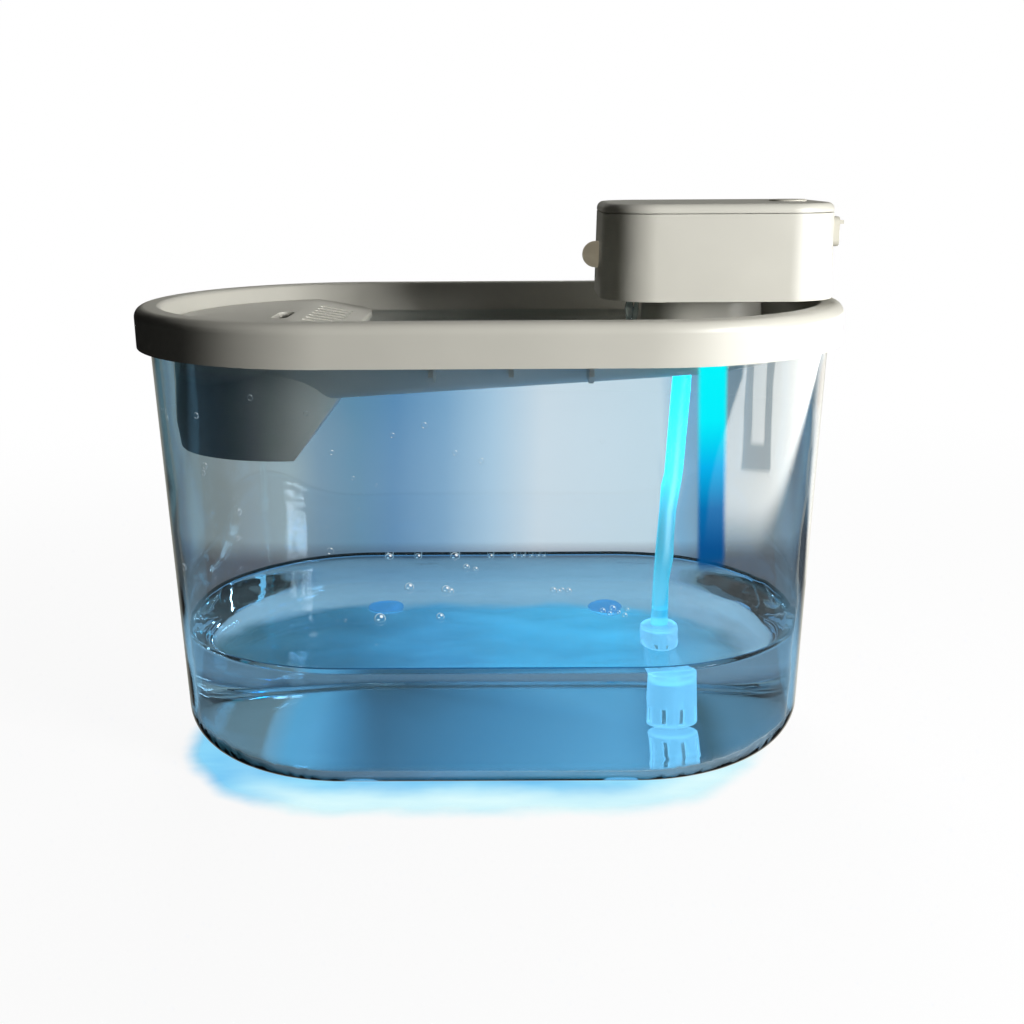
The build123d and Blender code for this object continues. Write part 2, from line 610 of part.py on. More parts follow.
# ---------------------------------------------------------------- filter
def make_filter_cover():
    plate_bottom = cover_top - COVER_PLATE
    half_length, half_depth = bowl_opening(plate_bottom)
    low = weir_top - COVER_FORM_DROP
    prism = extrude(stadium(half_length - COVER_GAP, half_depth - COVER_GAP, low), cover_top - low)
    prism &= block(-RIM_LENGTH, cover_right, -RIM_DEPTH, RIM_DEPTH, low, cover_top)
    prism = fillet(prism.edges().filter_by(Axis.Z).sort_by(Axis.X)[-2:], COVER_CORNER)
    ramp_x = cover_right - COVER_RAMP_RUN
    line = Polyline(
        (-RIM_LENGTH / 2, cover_top), (ramp_x, cover_top),
        (cover_right + CUT, cover_top - COVER_RAMP_FALL),
        (cover_right + CUT, plate_bottom - COVER_RAMP_FALL),
        (ramp_x, plate_bottom), (-RIM_LENGTH / 2, plate_bottom), close=True)
    plate = extrude(Plane.XZ * make_face(line), RIM_DEPTH / 2, both=True) & prism & bowl_form(-COVER_GAP)
    plate -= extrude(
        Pos(ramp_x - FINGER_SLOT_FROM_RAMP, 0, plate_bottom - CUT)
        * SlotOverall(FINGER_SLOT_LENGTH, FINGER_SLOT_WIDTH, rotation=90), COVER_PLATE + 2 * CUT)
    slot = extrude(
        Pos((ramp_x + cover_right) / 2 - COVER_SLOT_SHIFT, 0, plate_bottom - COVER_RAMP_FALL - CUT)
        * SlotOverall(COVER_SLOT_LENGTH, COVER_SLOT_WIDTH), COVER_RAMP_FALL + COVER_PLATE + 2 * CUT)
    for i in range(COVER_SLOT_COUNT):
        plate -= Pos(0, (i - (COVER_SLOT_COUNT - 1) / 2) * COVER_SLOT_PITCH, 0) * slot
    tab_top = plate_bottom + TAB_SKIN
    tab_bottom = weir_top - TAB_REACH
    under = extrude(Plane.XZ * make_face(Polyline(
        (-RIM_LENGTH / 2, tab_bottom), (cover_right, tab_bottom),
        (cover_right, tab_top - COVER_RAMP_FALL),
        (ramp_x, tab_top), (-RIM_LENGTH / 2, tab_top), close=True)),
        RIM_DEPTH / 2, both=True)
    seat = weir_top + LIFT_GAP
    rest_ring = extrude(Pos(0, 0, seat) * pocket_outline(0), cover_top - seat)
    rest_ring -= extrude(Pos(0, 0, seat) * pocket_outline(POCKET_WALL), cover_top - seat)
    guide_inset = POCKET_WALL + SIDE_GAP
    guide_low = seat - COVER_GUIDE
    guide = extrude(Pos(0, 0, guide_low) * pocket_outline(guide_inset), cover_top - guide_low)
    guide -= extrude(Pos(0, 0, guide_low) * pocket_outline(guide_inset + COVER_GUIDE_WALL),
                     cover_top - guide_low)
    bridge = extrude(Pos(0, 0, seat) * pocket_outline(POCKET_WALL), cover_top - seat)
    bridge -= extrude(Pos(0, 0, seat) * pocket_outline(guide_inset), cover_top - seat)
    ring = (rest_ring + bridge + guide) & under
    keep = Part()
    for offset in TAB_FROM_MIDDLE:
        x = pocket_x + offset
        keep += block(x, x + TAB_LENGTH, -RIM_DEPTH, RIM_DEPTH, tab_bottom, cover_top)
    return plate + (ring & keep & bowl_form(-COVER_GAP))


def cartridge_form(inset, z0, z1):
    """The cartridge's block: the pocket's own plan, cut off before the leaning wall."""
    body = extrude(Pos(0, 0, z0) * pocket_outline(POCKET_WALL + CARTRIDGE_PLAY + inset), z1 - z0)
    body &= block(-RIM_LENGTH, cartridge_right - inset, -RIM_DEPTH, RIM_DEPTH, z0, z1)
    return fillet(body.edges().filter_by(Axis.Z).sort_by(Axis.X)[-2:], CARTRIDGE_INNER_ROUND - inset)


cartridge_left = pocket_left + POCKET_WALL + CARTRIDGE_PLAY
cartridge_right = pocket_right - POCKET_SLOPE_RUN - POCKET_WALL - CARTRIDGE_PLAY
cartridge_bottom = pocket_bottom + POCKET_WALL + LIFT_GAP


def make_cartridge_frame():
    base = cartridge_bottom + CARTRIDGE_FEET
    top = base + CARTRIDGE_HEIGHT
    frame = cartridge_form(0, base, top) - cartridge_form(CARTRIDGE_WALL, base, top)
    inner = cartridge_form(CARTRIDGE_WALL / 2, base, top)
    x_middle = (cartridge_left + cartridge_right) / 2
    pitch = POCKET_DEPTH / (CARTRIDGE_BARS + 1)
    bars = Part()
    for z in (base, top - CARTRIDGE_GRID):
        for i in range(CARTRIDGE_BARS):
            y = (i - (CARTRIDGE_BARS - 1) / 2) * pitch
            bars += block(cartridge_left, cartridge_right, y - CARTRIDGE_BAR / 2, y + CARTRIDGE_BAR / 2,
                          z, z + CARTRIDGE_GRID)
        bars += block(x_middle - CARTRIDGE_BAR / 2, x_middle + CARTRIDGE_BAR / 2,
                      -POCKET_DEPTH / 2, POCKET_DEPTH / 2, z, z + CARTRIDGE_GRID)
    frame += bars & inner
    half_x, half_y = (size / 2 for size in CARTRIDGE_FOOT)
    for y in (-pitch, pitch):
        for x in (x_middle - CARTRIDGE_FOOT_X, x_middle + CARTRIDGE_FOOT_X):
            frame += block(x - half_x, x + half_x, y - half_y, y + half_y,
                           cartridge_bottom, base + CARTRIDGE_FOOT_SINK)
    return frame


def make_cartridge_media():
    base = cartridge_bottom + CARTRIDGE_FEET
    return cartridge_form(CARTRIDGE_WALL + FIT_GAP, base + CARTRIDGE_GRID + FIT_GAP,
                          base + CARTRIDGE_HEIGHT - CARTRIDGE_GRID - FIT_GAP)


# ---------------------------------------------------------------- head housing
def head_outline(inset, z):
    """The head's rounded rectangle at height z, inset from its outer wall."""
    shrink = inset + HEAD_DRAFT * (z - head_bottom)
    plan = RectangleRounded(HEAD_LENGTH - 2 * shrink, HEAD_DEPTH - 2 * shrink, HEAD_CORNER - shrink)
    return Pos(head_x, 0, z) * plan


def head_form(inset, z0, z1):
    return loft([head_outline(inset, z0), head_outline(inset, z1)], ruled=True)


def port_slot(width, height, x0, x1):
    """A sideways prism with round ends on the charging port's axis."""
    plan = Plane(origin=(x0, PORT_Y, port_z), x_dir=(0, 1, 0), z_dir=(1, 0, 0))
    return extrude(plan * SlotOverall(width, height), x1 - x0)


def sensor_bar(x0, x1, radius):
    """A sideways cylinder on the sensor's axis."""
    return Pos((x0 + x1) / 2, 0, SENSOR_Z) * Rot(0, 90, 0) * Cylinder(radius, x1 - x0)


def head_face_x(side, inset, z):
    """X of the head's end face at height z; side is -1 for the left, 1 for the right."""
    return head_x + side * (HEAD_LENGTH / 2 - inset - HEAD_DRAFT * (z - head_bottom))


sensor_flange_x = head_face_x(-1, HEAD_WALL, SENSOR_Z) + HEAD_DRAFT * SENSOR_FLANGE_RADIUS + FIT_GAP
sensor_board_x = sensor_flange_x + SENSOR_FLANGE + SENSOR_CAN + FIT_GAP
sensor_board_bottom = SENSOR_Z - SENSOR_BOARD_SIZE / 2
rail_x = sensor_board_x + SENSOR_BOARD / 2
pump_left = max(outlet_x - PUMP_END, rail_x + SENSOR_RAIL[0] / 2 + FIT_GAP)
pump_right = inlet_x + PUMP_END
pump_x = (pump_left + pump_right) / 2
pump_screw_x = (pump_right - pump_left) / 2 - PUMP_SCREW_INSET[0]
pump_screw_y = PUMP_DEPTH / 2 - PUMP_SCREW_INSET[1]


def make_head_shell():
    top = cap_bottom - SEAM
    shell = head_form(0, head_bottom, top) - head_form(HEAD_WALL, head_bottom, top)
    shell += head_form(HEAD_WALL - LEDGE_ROOT, ledge_bottom, ledge_top) - head_form(
        HEAD_WALL + LEDGE, ledge_bottom, ledge_top)
    for x, y in boss_places:
        height = board_bottom - boss_bottom if (x, y) in board_bosses else BOSS_HEIGHT
        shell += post(x, y, boss_bottom, boss_bottom + height, BOSS_RADIUS) & head_form(
            BOSS_ROOT, head_bottom, top)
        shell -= post(x, y, boss_bottom - CUT, boss_bottom + height + CUT, SCREW_RADIUS)
    shell -= sensor_bar(head_face_x(-1, -CUT, SENSOR_Z), head_face_x(-1, HEAD_WALL + CUT, SENSOR_Z),
                        SENSOR_RADIUS + FIT_GAP)
    port_inner = head_face_x(1, HEAD_WALL + CUT, port_z)
    port_outer = head_face_x(1, -CUT, port_z)
    shell -= port_slot(PORT_WIDTH, PORT_HEIGHT, port_inner, port_outer)
    shell -= anchor_bar(port_inner, port_outer, ANCHOR_RADIUS + FIT_GAP)
    return shell


def make_top_cap():
    cap = head_form(0, cap_bottom, head_top)
    cap = fillet(cap.faces().sort_by(Axis.Z)[-1].edges(), CAP_ROUND)
    cap -= head_form(HEAD_WALL + CAP_HOLLOW, cap_bottom - CUT, head_top - HEAD_WALL)
    lip_inset = HEAD_WALL + FIT_GAP
    lip_bottom = cap_bottom - CAP_LIP
    lip_top = cap_bottom + CAP_LIP_ROOT
    lip = head_form(lip_inset, lip_bottom, lip_top)
    lip -= head_form(lip_inset + CAP_LIP_WALL, lip_bottom, lip_top)
    cap += lip
    cap -= post(button_x, 0, cap_bottom - CUT, head_top + CUT, BUTTON_RADIUS + BUTTON_GAP)
    return cap


def make_base_plate():
    gap = HEAD_WALL + FIT_GAP
    plate = head_form(gap, base_bottom, base_top)
    plan = SlotOverall(PEDESTAL_LENGTH + 2 * SIDE_GAP, PEDESTAL_DEPTH + 2 * SIDE_GAP)
    dome = SlotOverall(PEDESTAL_LENGTH + 2 * (SIDE_GAP + SOCKET_WALL),
                       PEDESTAL_DEPTH + 2 * (SIDE_GAP + SOCKET_WALL))
    plate += extrude(Pos(pedestal_x, 0, base_bottom) * dome, socket_top - base_bottom)
    plate -= extrude(Pos(pedestal_x, 0, base_bottom - CUT) * plan, socket_roof - base_bottom + CUT)
    low = base_bottom - CUT
    for x, y in boss_places:
        plate -= post(x, y, low, base_bottom + SCREW_HEAD + SCREW_SINK, SCREW_HEAD_RADIUS + SCREW_CLEAR)
        plate -= post(x, y, low, boss_bottom, SCREW_RADIUS + SCREW_CLEAR)
    plate -= post(inlet_x, 0, low, socket_top + CUT, NIPPLE_RADIUS + FIT_GAP)
    plate -= post(outlet_x, 0, low, socket_top + CUT, NOZZLE_RADIUS + FIT_GAP)
    plate -= post(light_x, 0, socket_roof - CUT, socket_top + CUT, LIGHT_LENS + FIT_GAP)
    half_x, half_y = (size / 2 for size in SENSOR_RAIL)
    for side in (-1, 1):
        edge_y = side * SENSOR_BOARD_SIZE / 2
        rail = block(rail_x - half_x, rail_x + half_x, edge_y - half_y, edge_y + half_y,
                     base_top - RAIL_ROOT, SENSOR_Z)
        slot = block(sensor_board_x - FIT_GAP, sensor_board_x + SENSOR_BOARD + FIT_GAP,
                     -SENSOR_BOARD_SIZE / 2 - FIT_GAP, SENSOR_BOARD_SIZE / 2 + FIT_GAP,
                     sensor_board_bottom - FIT_GAP, SENSOR_Z + CUT)
        plate += rail - slot
    return plate


def make_base_gasket():
    ring = head_form(HEAD_WALL + FIT_GAP, base_top, ledge_bottom)
    ring -= head_form(HEAD_WALL + LEDGE - GASKET_BACK, base_top, ledge_bottom)
    for x, y in boss_places:
        ring += post(x, y, base_top, ledge_bottom, BOSS_RADIUS)
        ring -= post(x, y, base_top - CUT, ledge_bottom + CUT, SCREW_RADIUS + SCREW_CLEAR)
    return ring & head_form(HEAD_WALL + FIT_GAP, base_top, ledge_bottom)


def screw(x, y, head_z, tip_z, radius, head_radius, head_height):
    """A round-headed screw, head first, along Z in either direction."""
    up = 1 if tip_z > head_z else -1
    neck = head_z + up * head_height
    low, high = sorted((head_z, neck))
    head = post(x, y, low, high, head_radius)
    low, high = sorted((head_z, head_z + up * SCREW_SLOT))
    head -= post(x, y, low, high, head_radius * SCREW_SLOT_SHARE)
    low, high = sorted((neck, tip_z))
    return head + post(x, y, low, high, radius)


def make_base_screws():
    return [screw(x, y, base_bottom + SCREW_SINK, boss_bottom + BASE_SCREW_BITE, SCREW_RADIUS,
                  SCREW_HEAD_RADIUS, SCREW_HEAD) for x, y in boss_places]


def make_board_screws():
    return [screw(x, y, board_top + SCREW_HEAD, board_bottom - BOARD_SCREW_BITE, SCREW_RADIUS,
                  BOARD_SCREW_HEAD, SCREW_HEAD) for x, y in board_bosses]


# ---------------------------------------------------------------- button and port cover
def make_mode_button():
    flange_top = head_top - HEAD_WALL - BUTTON_FLANGE_GAP
    crown = head_top + BUTTON_PROUD
    button = post(button_x, 0, flange_top - BUTTON_SKIRT, crown, BUTTON_RADIUS)
    button = fillet(button.faces().sort_by(Axis.Z)[-1].edges(), BUTTON_EDGE)
    button += post(button_x, 0, flange_top - BUTTON_FLANGE_HEIGHT, flange_top,
                   BUTTON_RADIUS + BUTTON_FLANGE)
    stem_bottom = board_top + SWITCH_HEIGHT + SWITCH_STEM_HEIGHT + BUTTON_TRAVEL + STEM_GAP
    button += post(button_x, 0, stem_bottom, flange_top, BUTTON_STEM)
    return button


def make_port_cover():
    face = head_face_x(1, 0, port_z) + LIFT_GAP
    out = face + PORT_COVER_THICKNESS
    plan = Plane(origin=(face, PORT_Y, port_z), x_dir=(0, 1, 0), z_dir=(1, 0, 0))
    outline = RectangleRounded(PORT_COVER_WIDTH, PORT_COVER_HEIGHT, PORT_COVER_CORNER)
    pad = extrude(plan * outline, PORT_COVER_THICKNESS)
    pad -= Pos(out + DISH_RADIUS - PORT_COVER_DISH, PORT_Y, port_z) * Sphere(DISH_RADIUS)
    tab_y = PORT_Y - PORT_COVER_WIDTH / 2 + PULL_TAB_INSET[0]
    tab_z = port_z + PORT_COVER_HEIGHT / 2 - PULL_TAB_INSET[1]
    pad += Pos(out, tab_y, tab_z) * Box(*PULL_TAB)
    pad += port_slot(PORT_WIDTH - PORT_PLUG_PLAY[0], PORT_HEIGHT - PORT_PLUG_PLAY[1],
                     face - port_plug, face + PORT_PLUG_ROOT)
    knuckle_x = face + HINGE_RADIUS
    low = port_z - HINGE_HALF
    high = port_z + HINGE_HALF
    pad += post(knuckle_x, hinge_y, low, high, HINGE_RADIUS)
    thickness, length = KNUCKLE_ARM
    pad += block(knuckle_x - thickness / 2, knuckle_x + thickness / 2, hinge_y - length, hinge_y,
                 low, high)
    return pad


def anchor_bar(x0, x1, radius):
    """A sideways cylinder on the anchor's axis."""
    return Pos((x0 + x1) / 2, anchor_y, port_z) * Rot(0, 90, 0) * Cylinder(radius, x1 - x0)


def make_port_anchor():
    face = head_face_x(1, 0, port_z)
    knuckle_x = face + LIFT_GAP + HINGE_RADIUS
    head_x = face - HEAD_WALL - FIT_GAP
    plug = anchor_bar(head_x - ANCHOR_HEAD, knuckle_x, ANCHOR_RADIUS)
    plug += anchor_bar(head_x - ANCHOR_HEAD, head_x, ANCHOR_RADIUS + ANCHOR_BARB)
    tail = block(face + FIT_GAP, knuckle_x, hinge_y + HINGE_RADIUS + LIFT_GAP, anchor_y + ANCHOR_TAIL,
                 port_z - HINGE_HALF, port_z + HINGE_HALF)
    tail = fillet(tail.edges().filter_by(Axis.X), ANCHOR_CORNER)
    return plug + tail


# ---------------------------------------------------------------- sensor
def lens_tip_x(dome_x, radius):
    """X of the small flat on the dome's tip."""
    return dome_x - (radius ** 2 - SENSOR_TIP_FLAT ** 2) ** 0.5


def lens_edge(dome_x, radius):
    """A quarter round from the small flat on the dome's tip to its widest place."""
    tip_x = lens_tip_x(dome_x, radius)
    tip = (tip_x, SENSOR_TIP_FLAT)
    middle = (dome_x - radius * sin(pi / 4), radius * cos(pi / 4))
    return [Line((tip_x, 0), tip), ThreePointArc(tip, middle, (dome_x, radius))]


def make_sensor_lens():
    """A hollow dome on a short neck, with a flange behind the shell's wall."""
    flange_x = sensor_flange_x
    back_x = flange_x + SENSOR_FLANGE
    dome_x = head_face_x(-1, 0, SENSOR_Z) - SENSOR_PROUD + SENSOR_RADIUS
    bore = SENSOR_RADIUS - SENSOR_LENS_WALL
    profile = make_face([
        *lens_edge(dome_x, SENSOR_RADIUS),
        Line((dome_x, SENSOR_RADIUS), (flange_x, SENSOR_RADIUS)),
        Line((flange_x, SENSOR_RADIUS), (flange_x, SENSOR_FLANGE_RADIUS)),
        Line((flange_x, SENSOR_FLANGE_RADIUS), (back_x, SENSOR_FLANGE_RADIUS)),
        Line((back_x, SENSOR_FLANGE_RADIUS), (back_x, bore)),
        Line((back_x, bore), (dome_x, bore)),
        *lens_edge(dome_x, bore),
        Line((lens_tip_x(dome_x, SENSOR_RADIUS), 0), (lens_tip_x(dome_x, bore), 0)),
    ])
    return Pos(0, 0, SENSOR_Z) * revolve(profile, Axis.X)


def make_sensor_can():
    x0 = sensor_board_x - SENSOR_CAN
    can = sensor_bar(x0, sensor_board_x, SENSOR_CAN_RADIUS)
    return chamfer(can.faces().sort_by(Axis.X)[0].edges(), SENSOR_CAN_EDGE)


def make_sensor_board():
    board = block(sensor_board_x, sensor_board_x + SENSOR_BOARD, -SENSOR_BOARD_SIZE / 2,
                  SENSOR_BOARD_SIZE / 2, sensor_board_bottom, SENSOR_Z + SENSOR_BOARD_SIZE / 2)
    return fillet(board.edges().filter_by(Axis.X), SENSOR_BOARD_CORNER)


# ---------------------------------------------------------------- gear pump
def gear_face(teeth, bore):
    """Involute gear outline; flanks are arcs through three points of the involute."""
    pitch = GEAR_MODULE * teeth / 2
    base = pitch * cos(GEAR_PRESSURE)
    tip = pitch + GEAR_ADDENDUM * GEAR_MODULE
    root = pitch - GEAR_DEDENDUM * GEAR_MODULE
    inv_pitch = tan(GEAR_PRESSURE) - GEAR_PRESSURE
    half_tooth = pi / (2 * teeth) - GEAR_BACKLASH / (2 * pitch)

    def flank(radius):
        angle = acos(base / radius)
        return half_tooth + inv_pitch - (tan(angle) - angle)

    def at(radius, angle):
        return (radius * cos(angle), radius * sin(angle))

    low = max(base, root) + GEAR_ROOT_RUN
    middle = (low + tip) / 2
    edges = []
    for i in range(teeth):
        turn = 2 * pi * i / teeth
        following = 2 * pi * (i + 1) / teeth
        edges.append(Line(at(root, turn - flank(low)), at(low, turn - flank(low))))
        edges.append(ThreePointArc(at(low, turn - flank(low)), at(middle, turn - flank(middle)),
                                   at(tip, turn - flank(tip))))
        edges.append(ThreePointArc(at(tip, turn - flank(tip)), at(tip, turn), at(tip, turn + flank(tip))))
        edges.append(ThreePointArc(at(tip, turn + flank(tip)), at(middle, turn + flank(middle)),
                                   at(low, turn + flank(low))))
        edges.append(Line(at(low, turn + flank(low)), at(root, turn + flank(low))))
        edges.append(ThreePointArc(at(root, turn + flank(low)), at(root, (turn + following) / 2),
                                   at(root, following - flank(low))))
    return make_face(edges) - Circle(bore)


def make_drive_gear():
    face = Rot(0, 0, 90) * gear_face(GEAR_TEETH, SHAFT_RADIUS + GEAR_BORE_GAP)
    return extrude(Pos(gear_x, drive_y, gear_bottom) * face, GEAR_HEIGHT)


def make_driven_gear():
    half_step = 180 / GEAR_TEETH
    face = Rot(0, 0, -90 + half_step) * gear_face(GEAR_TEETH, IDLER_RADIUS + RUN_GAP)
    return extrude(Pos(gear_x, driven_y, gear_bottom) * face, GEAR_HEIGHT)


def make_motor_shaft():
    return post(gear_x, drive_y, gear_bottom, motor_bottom + MOTOR_BEARING, SHAFT_RADIUS)


def make_idler_pin():
    return post(gear_x, driven_y, idler_bottom, idler_top, IDLER_RADIUS)


def pump_outline(z):
    return Pos(pump_x, 0, z) * RectangleRounded(pump_right - pump_left, PUMP_DEPTH, PUMP_CORNER)


def pump_screw_places():
    return [(pump_x + sx * pump_screw_x, sy * pump_screw_y) for sx in (-1, 1) for sy in (-1, 1)]


def pump_cavity(z0, z1):
    """The two gear bores with the inlet and outlet channels that meet their mesh."""
    cavity = post(gear_x, drive_y, z0, z1, chamber_radius)
    cavity += post(gear_x, driven_y, z0, z1, chamber_radius)
    channel = SlotOverall(inlet_x - outlet_x + PORT_CHANNEL, PORT_CHANNEL)
    middle = Pos((inlet_x + outlet_x) / 2, 0, z0)
    return cavity + extrude(middle * channel, z1 - z0 - CHANNEL_DROP)


def make_pump_body():
    body = extrude(pump_outline(pump_body_bottom), pump_top - pump_body_bottom)
    body -= pump_cavity(pump_body_bottom - CUT, chamber_top)
    body -= post(gear_x, drive_y, chamber_top - CUT, pump_top + CUT, SHAFT_RADIUS + RUN_GAP)
    body -= post(gear_x, drive_y, pump_top - SEAL_HEIGHT, pump_top + CUT, SEAL_RADIUS + FIT_GAP)
    body -= post(gear_x, driven_y, chamber_top - CUT, idler_top, IDLER_RADIUS + PRESS_GAP)
    for x, y in pump_screw_places():
        body -= post(x, y, pump_body_bottom - CUT, pump_body_bottom + PUMP_SCREW_HOLE, PUMP_SCREW_RADIUS)
    return body


def make_pump_plate():
    plate = extrude(pump_outline(pump_bottom), PUMP_PLATE)
    low = pump_bottom - CUT
    high = pump_plate_top + CUT
    plate -= post(inlet_x, 0, low, high, NIPPLE_RADIUS + PRESS_GAP)
    plate -= post(outlet_x, 0, low, high, NOZZLE_RADIUS + PRESS_GAP)
    plate -= post(gear_x, driven_y, idler_bottom, high, IDLER_RADIUS + PRESS_GAP)
    head_radius, head_height = PUMP_SCREW_HEAD
    for x, y in pump_screw_places():
        plate -= post(x, y, low, high, PUMP_SCREW_RADIUS + PUMP_SCREW_CLEAR)
        plate -= post(x, y, low, pump_bottom + SCREW_SINK + head_height, head_radius + PUMP_SCREW_CLEAR)
    return plate


def make_pump_gasket():
    gasket = extrude(pump_outline(pump_plate_top), PUMP_GASKET)
    low = pump_plate_top - CUT
    gasket -= pump_cavity(low, pump_body_bottom + CUT + CHANNEL_DROP)
    for x, y in pump_screw_places():
        gasket -= post(x, y, low, pump_body_bottom + CUT, PUMP_SCREW_RADIUS + PUMP_SCREW_CLEAR)
    return gasket


def make_pump_screws():
    tip = pump_body_bottom + PUMP_SCREW_BITE
    return [screw(x, y, pump_bottom + SCREW_SINK, tip, PUMP_SCREW_RADIUS, *PUMP_SCREW_HEAD)
            for x, y in pump_screw_places()]


def make_shaft_seal():
    return tube(gear_x, drive_y, pump_top - SEAL_HEIGHT, pump_top, SEAL_RADIUS, SHAFT_RADIUS + RUN_GAP)


def make_motor_can():
    can = post(gear_x, drive_y, motor_bottom, motor_bottom + MOTOR_HEIGHT, MOTOR_RADIUS)
    can = fillet(can.faces().sort_by(Axis.Z)[-1].edges(), MOTOR_ROUND)
    bore_top = motor_bottom + MOTOR_BEARING + MOTOR_END_GAP
    return can - post(gear_x, drive_y, motor_bottom - CUT, bore_top, SHAFT_RADIUS + RUN_GAP)


def make_suction_nipple():
    low = HOSE_ROUTE[0][2] - NIPPLE_LENGTH
    return tube(inlet_x, 0, low, pump_plate_top, NIPPLE_RADIUS, NIPPLE_BORE)


def make_spout_nozzle():
    nozzle = tube(outlet_x, 0, head_bottom + NOZZLE_RISE, pump_plate_top, NOZZLE_RADIUS, NOZZLE_BORE)
    return chamfer(nozzle.faces().sort_by(Axis.Z)[0].outer_wire().edges(), NOZZLE_EDGE)


# ---------------------------------------------------------------- light, battery, board
def make_light_lens():
    lens = post(light_x, 0, socket_roof + FIT_GAP, socket_top, LIGHT_LENS)
    return chamfer(lens.faces().sort_by(Axis.Z)[0].edges(), LIGHT_LENS_EDGE)


def make_light_led():
    return Pos(light_x, 0, socket_top + LED_GAP + LED_SIZE[2] / 2) * Box(*LED_SIZE)


def make_battery():
    plan = RectangleRounded(BATTERY_LENGTH, BATTERY_DEPTH, BATTERY_CORNER)
    cell = extrude(Pos(battery_x, 0, battery_bottom + FIT_GAP) * plan, BATTERY_HEIGHT)
    rims = cell.faces().sort_by(Axis.Z)
    return fillet(rims[0].edges() + rims[-1].edges(), BATTERY_ROUND)


def make_cradle():
    half_x = BATTERY_LENGTH / 2 + CRADLE_PLAY
    half_y = BATTERY_DEPTH / 2 + CRADLE_PLAY
    corner = BATTERY_CORNER + CRADLE_PLAY
    outer = RectangleRounded(2 * (half_x + CRADLE_WALL), 2 * (half_y + CRADLE_WALL), corner + CRADLE_WALL)
    inner = RectangleRounded(2 * half_x, 2 * half_y, corner)
    cradle = extrude(Pos(battery_x, 0, cradle_bottom) * outer, CRADLE_HEIGHT)
    cradle -= extrude(Pos(battery_x, 0, battery_bottom) * inner, CRADLE_HEIGHT)
    cradle -= post(light_x, 0, cradle_bottom - CUT, battery_bottom + CUT, LIGHT_WINDOW)
    left = battery_x - half_x - CRADLE_WALL
    for side in (-1, 1):
        y = side * (half_y + CRADLE_WALL - CRADLE_POST / 2)
        cradle += block(left, left + CRADLE_WALL, y - CRADLE_POST / 2, y + CRADLE_POST / 2,
                        cradle_bottom, board_bottom)
    return cradle


def make_board():
    right = head_face_x(1, HEAD_WALL + BOARD_INSET, board_top)
    plan = Pos(right - BOARD_LENGTH / 2, 0, board_bottom) * RectangleRounded(
        BOARD_LENGTH, BOARD_DEPTH, BOARD_CORNER)
    board = extrude(plan, BOARD_THICKNESS)
    for x, y in board_bosses:
        board -= post(x, y, board_bottom - CUT, board_top + CUT, SCREW_RADIUS + SCREW_CLEAR)
    return board


def make_tact_switch():
    half = SWITCH_SIZE / 2
    switch = block(button_x - half, button_x + half, -half, half, board_top, board_top + SWITCH_HEIGHT)
    switch = chamfer(switch.edges().filter_by(Axis.Z), SWITCH_CORNER)
    stem_top = board_top + SWITCH_HEIGHT + SWITCH_STEM_HEIGHT
    return switch + post(button_x, 0, board_top, stem_top, SWITCH_STEM)


def make_usb_socket():
    right = head_face_x(1, HEAD_WALL + USB_GAP, port_z)
    left = right - USB_LENGTH
    outer = port_slot(USB_WIDTH, USB_HEIGHT, left, right)
    inner = port_slot(USB_WIDTH - 2 * USB_WALL, USB_HEIGHT - 2 * USB_WALL, left + USB_BACK, right)
    half_y, half_z = (size / 2 for size in USB_TONGUE)
    tongue = block(left + USB_TONGUE_INSET[0], right - USB_TONGUE_INSET[1], PORT_Y - half_y,
                   PORT_Y + half_y, port_z - half_z, port_z + half_z)
    return outer - inner + tongue


# ---------------------------------------------------------------- hose and strainer
def corner_radii(route):
    """The largest arc that each corner's two runs allow."""
    points = [Vector(*p) for p in route]
    radii = []
    for before, corner, after in zip(points, points[1:], points[2:]):
        run_in = corner - before
        run_out = after - corner
        turn = radians(run_in.get_angle(run_out))
        radii.append(ROUTE_SHARE * min(run_in.length, run_out.length) / tan(turn / 2))
    return radii


def make_hose():
    path = FilletPolyline(*HOSE_ROUTE, radius=corner_radii(HOSE_ROUTE))
    start = Plane(origin=HOSE_ROUTE[0], z_dir=(0, 0, -1))
    hose = sweep(start * Circle(HOSE_RADIUS), path=path)
    return hose - sweep(start * Circle(HOSE_BORE), path=path)


def make_strainer_cap():
    cap = post(strainer_x, strainer_y, strainer_cup_top, strainer_cap_top, STRAINER_RADIUS)
    cap = fillet(cap.faces().sort_by(Axis.Z)[-1].edges(), STRAINER_CAP_ROUND)
    nipple_top = strainer_cap_top + STRAINER_NIPPLE
    plug_bottom = strainer_cup_top - STRAINER_PLUG
    cap += post(strainer_x, strainer_y, strainer_cup_top, nipple_top, NIPPLE_RADIUS)
    cap += post(strainer_x, strainer_y, plug_bottom, strainer_cup_top + STRAINER_PLUG_ROOT,
                STRAINER_RADIUS - STRAINER_WALL - FIT_GAP)
    return cap - post(strainer_x, strainer_y, plug_bottom - CUT, nipple_top + CUT, NIPPLE_BORE)


